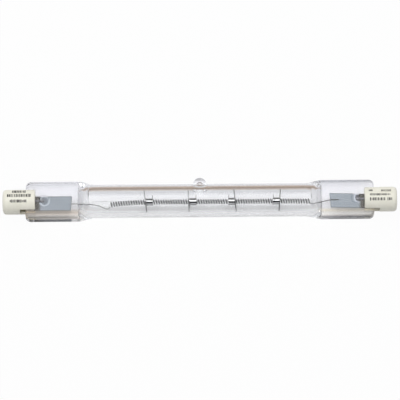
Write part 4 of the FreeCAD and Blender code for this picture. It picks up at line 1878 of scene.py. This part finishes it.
@dataclass
class Caps:
    """The ceramic caps with their contacts, cement and print."""

    finishes: Finishes
    block: CapBlock = CapBlock()
    button: Button = Button()
    ink_width: float = 0.55
    ink_depth: float = 0.05
    ink_least: Colour = (0.6, 0.75, 1.0)
    ink_most: Colour = (1.5, 1.0, 1.0)
    left_print: tuple[InkRow, ...] = (
        InkRow(-55.8, -52.1, 3.15, 0.7, 9), InkRow(-57.2, -50.6, 2.0, 0.95, 14),
        InkRow(-56.4, -51.8, 0.36, 0.9, 12),
    )
    right_print: tuple[InkRow, ...] = (
        InkRow(50.5, 51.3, 2.65, 0.5, 3), InkRow(54.2, 56.8, 2.6, 0.6, 8),
        InkRow(50.8, 55.6, 1.45, 0.65, 13), InkRow(56.1, 56.6, 1.45, 0.5, 2),
        InkRow(50.8, 55.0, 0.1, 0.95, 10), InkRow(56.0, 57.1, 0.1, 0.95, 3),
    )

    def revolve(
        self, name: str, profile: Profile, side: Side, material: Material, steps: int
    ) -> Piece:
        """Turns a closed profile about the lamp's axis.

        Args:
            name: The piece's name.
            profile: Distances and radii, from the inner end round to the axis again.
            side: The end that it belongs to.
            material: Its finish.
            steps: How many steps make the turn.

        Returns:
            The piece.
        """
        end = ENDS[side]
        rings = profile[1:-1]
        points = [
            end.at(d, radius * cosine, radius * sine)
            for d, radius in rings for cosine, sine in circle(steps)
        ]
        first = len(points)
        points += [end.at(profile[0][0], 0, 0), end.at(profile[-1][0], 0, 0)]
        faces = wall(len(rings), steps)
        last = (len(rings) - 1) * steps
        for i in range(steps):
            j = (i + 1) % steps
            faces += [[first, j, i], [first + 1, last + i, last + j]]
        if side is Side.RIGHT:
            faces = [face[::-1] for face in faces]
        return mesh_object(name, points, faces, material)

    def slot_tool(self, end: End) -> Piece:
        """The block that cuts the slot.

        Args:
            end: The end of the lamp.

        Returns:
            The block.
        """
        block = self.block
        points = [
            end.at(d, w, t)
            for d in (block.inner - 1, block.slot_floor)
            for w in (-block.radius - 1, block.radius + 1)
            for t in (-block.slot_half, block.slot_half)
        ]
        faces = [(0, 1, 3, 2), (4, 6, 7, 5), (0, 4, 5, 1), (2, 3, 7, 6), (0, 2, 6, 4), (1, 5, 7, 3)]
        return mesh_object("slot_tool", points, faces, self.finishes.ceramic, smooth=False)

    def lead_tool(self, end: End) -> Piece:
        """The round rod that cuts the lead's hole.

        Args:
            end: The end of the lamp.

        Returns:
            The rod.
        """
        block = self.block
        skin = Skin([
            [
                end.at(d, block.lead_hole * cosine, LEAD_HEIGHT + block.lead_hole * sine)
                for cosine, sine in circle(block.hole_steps)
            ]
            for d in (block.slot_floor - block.overcut[0], block.stem_end + block.overcut[1])
        ])
        material = self.finishes.ceramic
        return mesh_object("lead_tool", skin.points, skin.faces(), material, smooth=False)

    def ceramic(self, side: Side) -> None:
        """Makes the slotted ceramic block.

        Args:
            side: The end of the lamp.
        """
        block, name = self.block, f"{side.title}_ceramic"
        made = self.revolve(name, block.profile, side, self.finishes.ceramic, block.steps)
        tools = [self.slot_tool(ENDS[side]), self.lead_tool(ENDS[side])]
        for tool in tools:
            cut = made.modifiers.new("cut", "BOOLEAN")
            cut.operation = "DIFFERENCE"
            cut.solver = "EXACT"
            cut.object = outward(tool)
        soft = made.modifiers.new("soft_edges", "BEVEL")
        soft.width = block.soft_edge * MM
        soft.segments = 2
        soft.limit_method = "ANGLE"
        soft.angle_limit = math.radians(block.soft_from)
        flatten(outward(made))
        for tool in tools:
            bpy.data.objects.remove(tool)
        seat(shade_by_angle(made, block.sharp_from), "ceramic", f"{side.title}_cap")

    def contact(self, side: Side) -> None:
        """Makes the contact button."""
        name, button = f"{side.title}_button", self.button
        made = self.revolve(name, button.profile, side, self.finishes.nickel, button.steps)
        made = shade_by_angle(outward(made), button.sharp_from)
        seat(made, "nickel", f"{side.title}_contact")

    def print_bars(self, side: Side, tree: bpy.types.NodeTree) -> None:
        """Makes the cap's rows of plain ink bars, one modifier to a row.

        Args:
            side: The end of the lamp.
            tree: The tree that makes a row.
        """
        name = f"{side.title}_print"
        made = new_object(name, bpy.data.meshes.new(name))
        rows = self.left_print if side is Side.LEFT else self.right_print
        for number, row in enumerate(rows):
            step = (row.last - row.first) / (row.count - 1)
            turn = math.asin(row.across / self.block.radius)
            height = row.height / math.cos(turn)
            add_tree(made, tree, {
                "Count": row.count,
                "Start": (row.first * MM, 0.0, self.block.radius * MM),
                "Step": (step * MM, 0.0, 0.0),
                "Turn": (-turn, 0.0, 0.0),
                "Bar": (self.ink_width * step * MM, height * MM, self.ink_depth * MM),
                "Least": self.ink_least,
                "Most": self.ink_most,
                "Seed": number,
                "Finish": self.finishes.ink,
            })
        seat(flatten(made), "ceramic")

    def build(self, nodes: dict[str, Piece]) -> None:
        """Makes both caps, and gives the CAD's cement its finish.

        Args:
            nodes: The CAD's nodes by name.
        """
        tree = ink_tree()
        for side in Side:
            self.ceramic(side)
            self.contact(side)
            self.print_bars(side, tree)
            cement = nodes[f"{side.title}_cement"].data.materials
            cement.clear()
            cement.append(self.finishes.cement)


@dataclass
class Studio:
    """The floor, the light and the camera. Lengths are in millimetres."""

    floor_height: float = -5.02
    floor_half: float = 3000.0
    floor_grey: Colour = (0.9, 0.9, 0.9)
    field_width: float = 119.48
    distance: float = 1000.0
    aim: tuple[float, float] = (0.05, 0.2)
    slope: float = 0.0085
    clip_end: float = 20000.0
    sensor: float = 36.0
    key_place: tuple[float, float, float] = (-80.0, 400.0, 760.0)
    key_size: float = 780.0
    key_power: float = 4.6
    sky: Colour = (0.94, 0.96, 1.0)
    sky_low: float = 0.16
    sky_high: float = 0.5
    sky_top: float = 0.8
    # A ray out of glass counts as glossy too, so its share is what the two leave together.
    white_shares: tuple[tuple[str, float], ...] = (
        ("Is Camera Ray", 0.95), ("Is Glossy Ray", 0.5), ("Is Transmission Ray", -0.4),
    )
    # What shiny pieces mirror by height: a pale tent with a dark opening for the camera.
    tent_levels: Profile = (
        (0.0, 0.08), (0.12, 0.12), (0.3, 0.75), (0.82, 0.8), (0.93, 0.3), (1.0, 0.1),
    )
    # The floor as only glass shows it, along +Y: a painted shadow just to -Y of the middle,
    # and a warm painted reflection band behind the tube's far edge.
    band_range: tuple[float, float] = (-20.0, 24.0)
    glass_floor_paint_stops: Stops = (
        (0.0, (0.85, 0.85, 0.85)), (0.33, (0.85, 0.85, 0.86)), (0.365, (0.66, 0.66, 0.66)),
        (0.43, (0.68, 0.68, 0.69)), (0.47, (0.79, 0.79, 0.81)), (0.56, (0.82, 0.82, 0.85)),
        (0.62, (0.48, 0.34, 0.25)), (0.72, (0.22, 0.135, 0.075)), (0.84, (0.42, 0.33, 0.27)),
        (1.0, (0.75, 0.72, 0.7)),
    )

    def floor(self) -> None:
        """Makes the pale floor: white to the camera, and shaded through the glass, with painted
        bands.
        """
        shader = Shader("floor_white")
        light = shader.node("ShaderNodeLightPath").outputs
        across = shader.grow(shader.axes()["Y"], *self.band_range, Ease.EVEN)
        painted_band = shader.ramp(across, self.glass_floor_paint_stops)
        tint = shader.blend(light["Is Transmission Ray"], (*self.floor_grey, 1.0), painted_band)
        diffuse = shader.node("ShaderNodeBsdfDiffuse", {"Color": tint})
        glow = shader.node("ShaderNodeEmission", {"Color": (1, 1, 1, 1), "Strength": 1.0})
        share: Any = 0.0
        for ray, part in self.white_shares:
            share = shader.math("MULTIPLY_ADD", light[ray], part, share)
        material = shader.finish(shader.node(
            "ShaderNodeMixShader", {0: share, 1: diffuse.outputs[0], 2: glow.outputs[0]}
        ))
        signs = ((-1, -1), (1, -1), (1, 1), (-1, 1))
        points = [
            Vector((x * self.floor_half, y * self.floor_half, self.floor_height)) for x, y in signs
        ]
        mesh_object("floor", points, [(0, 1, 2, 3)], material, smooth=False)

    def world(self) -> None:
        """Sets the soft light from all round, dimmer to the horizon and white to the camera."""
        world = bpy.data.worlds.new("studio")
        bpy.context.scene.world = world
        world.use_nodes = True
        world.node_tree.nodes.clear()
        nodes = Nodes(world.node_tree)
        light = nodes.node("ShaderNodeLightPath").outputs
        place = nodes.node("ShaderNodeTexCoord").outputs["Generated"]
        height = nodes.node("ShaderNodeSeparateXYZ", {0: place}).outputs["Z"]
        level = nodes.node(
            "ShaderNodeMapRange",
            {
                "Value": height,
                "From Max": self.sky_top,
                "To Min": self.sky_low,
                "To Max": self.sky_high,
            },
        )
        tent = nodes.ramp(height, [(up, (grey, grey, grey)) for up, grey in self.tent_levels])
        seen = nodes.mix(light["Is Glossy Ray"], level.outputs[0], tent)
        around = nodes.node("ShaderNodeBackground", {"Color": (*self.sky, 1.0), "Strength": seen})
        white = nodes.node("ShaderNodeBackground", {"Color": (1, 1, 1, 1), "Strength": 1.0})
        mixed = nodes.node(
            "ShaderNodeMixShader",
            {0: light["Is Camera Ray"], 1: around.outputs[0], 2: white.outputs[0]},
        )
        nodes.node("ShaderNodeOutputWorld", {"Surface": mixed.outputs[0]})

    def key(self) -> None:
        """Adds a soft area light that faces the middle of the floor."""
        place = Vector(self.key_place)
        data = bpy.data.lights.new("key", "AREA")
        data.shape = "SQUARE"
        data.size = self.key_size * MM
        data.energy = self.key_power
        made = bpy.data.objects.new("key", data)
        made.location = place * MM
        made.rotation_euler = (-place).to_track_quat("-Z", "Y").to_euler()
        bpy.context.scene.collection.objects.link(made)

    def camera(self) -> None:
        """Sets the camera straight above the lamp, turned a little as the photograph is."""
        data = bpy.data.cameras.new("camera")
        data.sensor_width = self.sensor
        data.lens = self.sensor * self.distance / self.field_width
        data.clip_end = self.clip_end * MM
        made = bpy.data.objects.new("camera", data)
        made.location = Vector((*self.aim, self.distance)) * MM
        made.rotation_euler = (0.0, 0.0, -self.slope)
        bpy.context.scene.collection.objects.link(made)
        bpy.context.scene.camera = made

    def build(self) -> None:
        """Makes the studio."""
        self.floor()
        self.world()
        self.key()
        self.camera()
        bpy.context.scene.view_settings.view_transform = "Standard"


def main() -> None:
    """Builds the lamp on its frame and sets up the studio."""
    logging.basicConfig(level=logging.INFO, format="%(name)s: %(message)s")
    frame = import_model()
    finishes = Finishes()
    wires = WireWorks()
    coil = Coil()
    Envelope(finishes.quartz).build()
    Filament(finishes.coil, wires, coil).build()
    Supports(finishes, wires, coil).build()
    Seals(finishes).build()
    Caps(finishes).build(frame["nodes"])
    Studio().build()


if __name__ == "__main__":
    main()
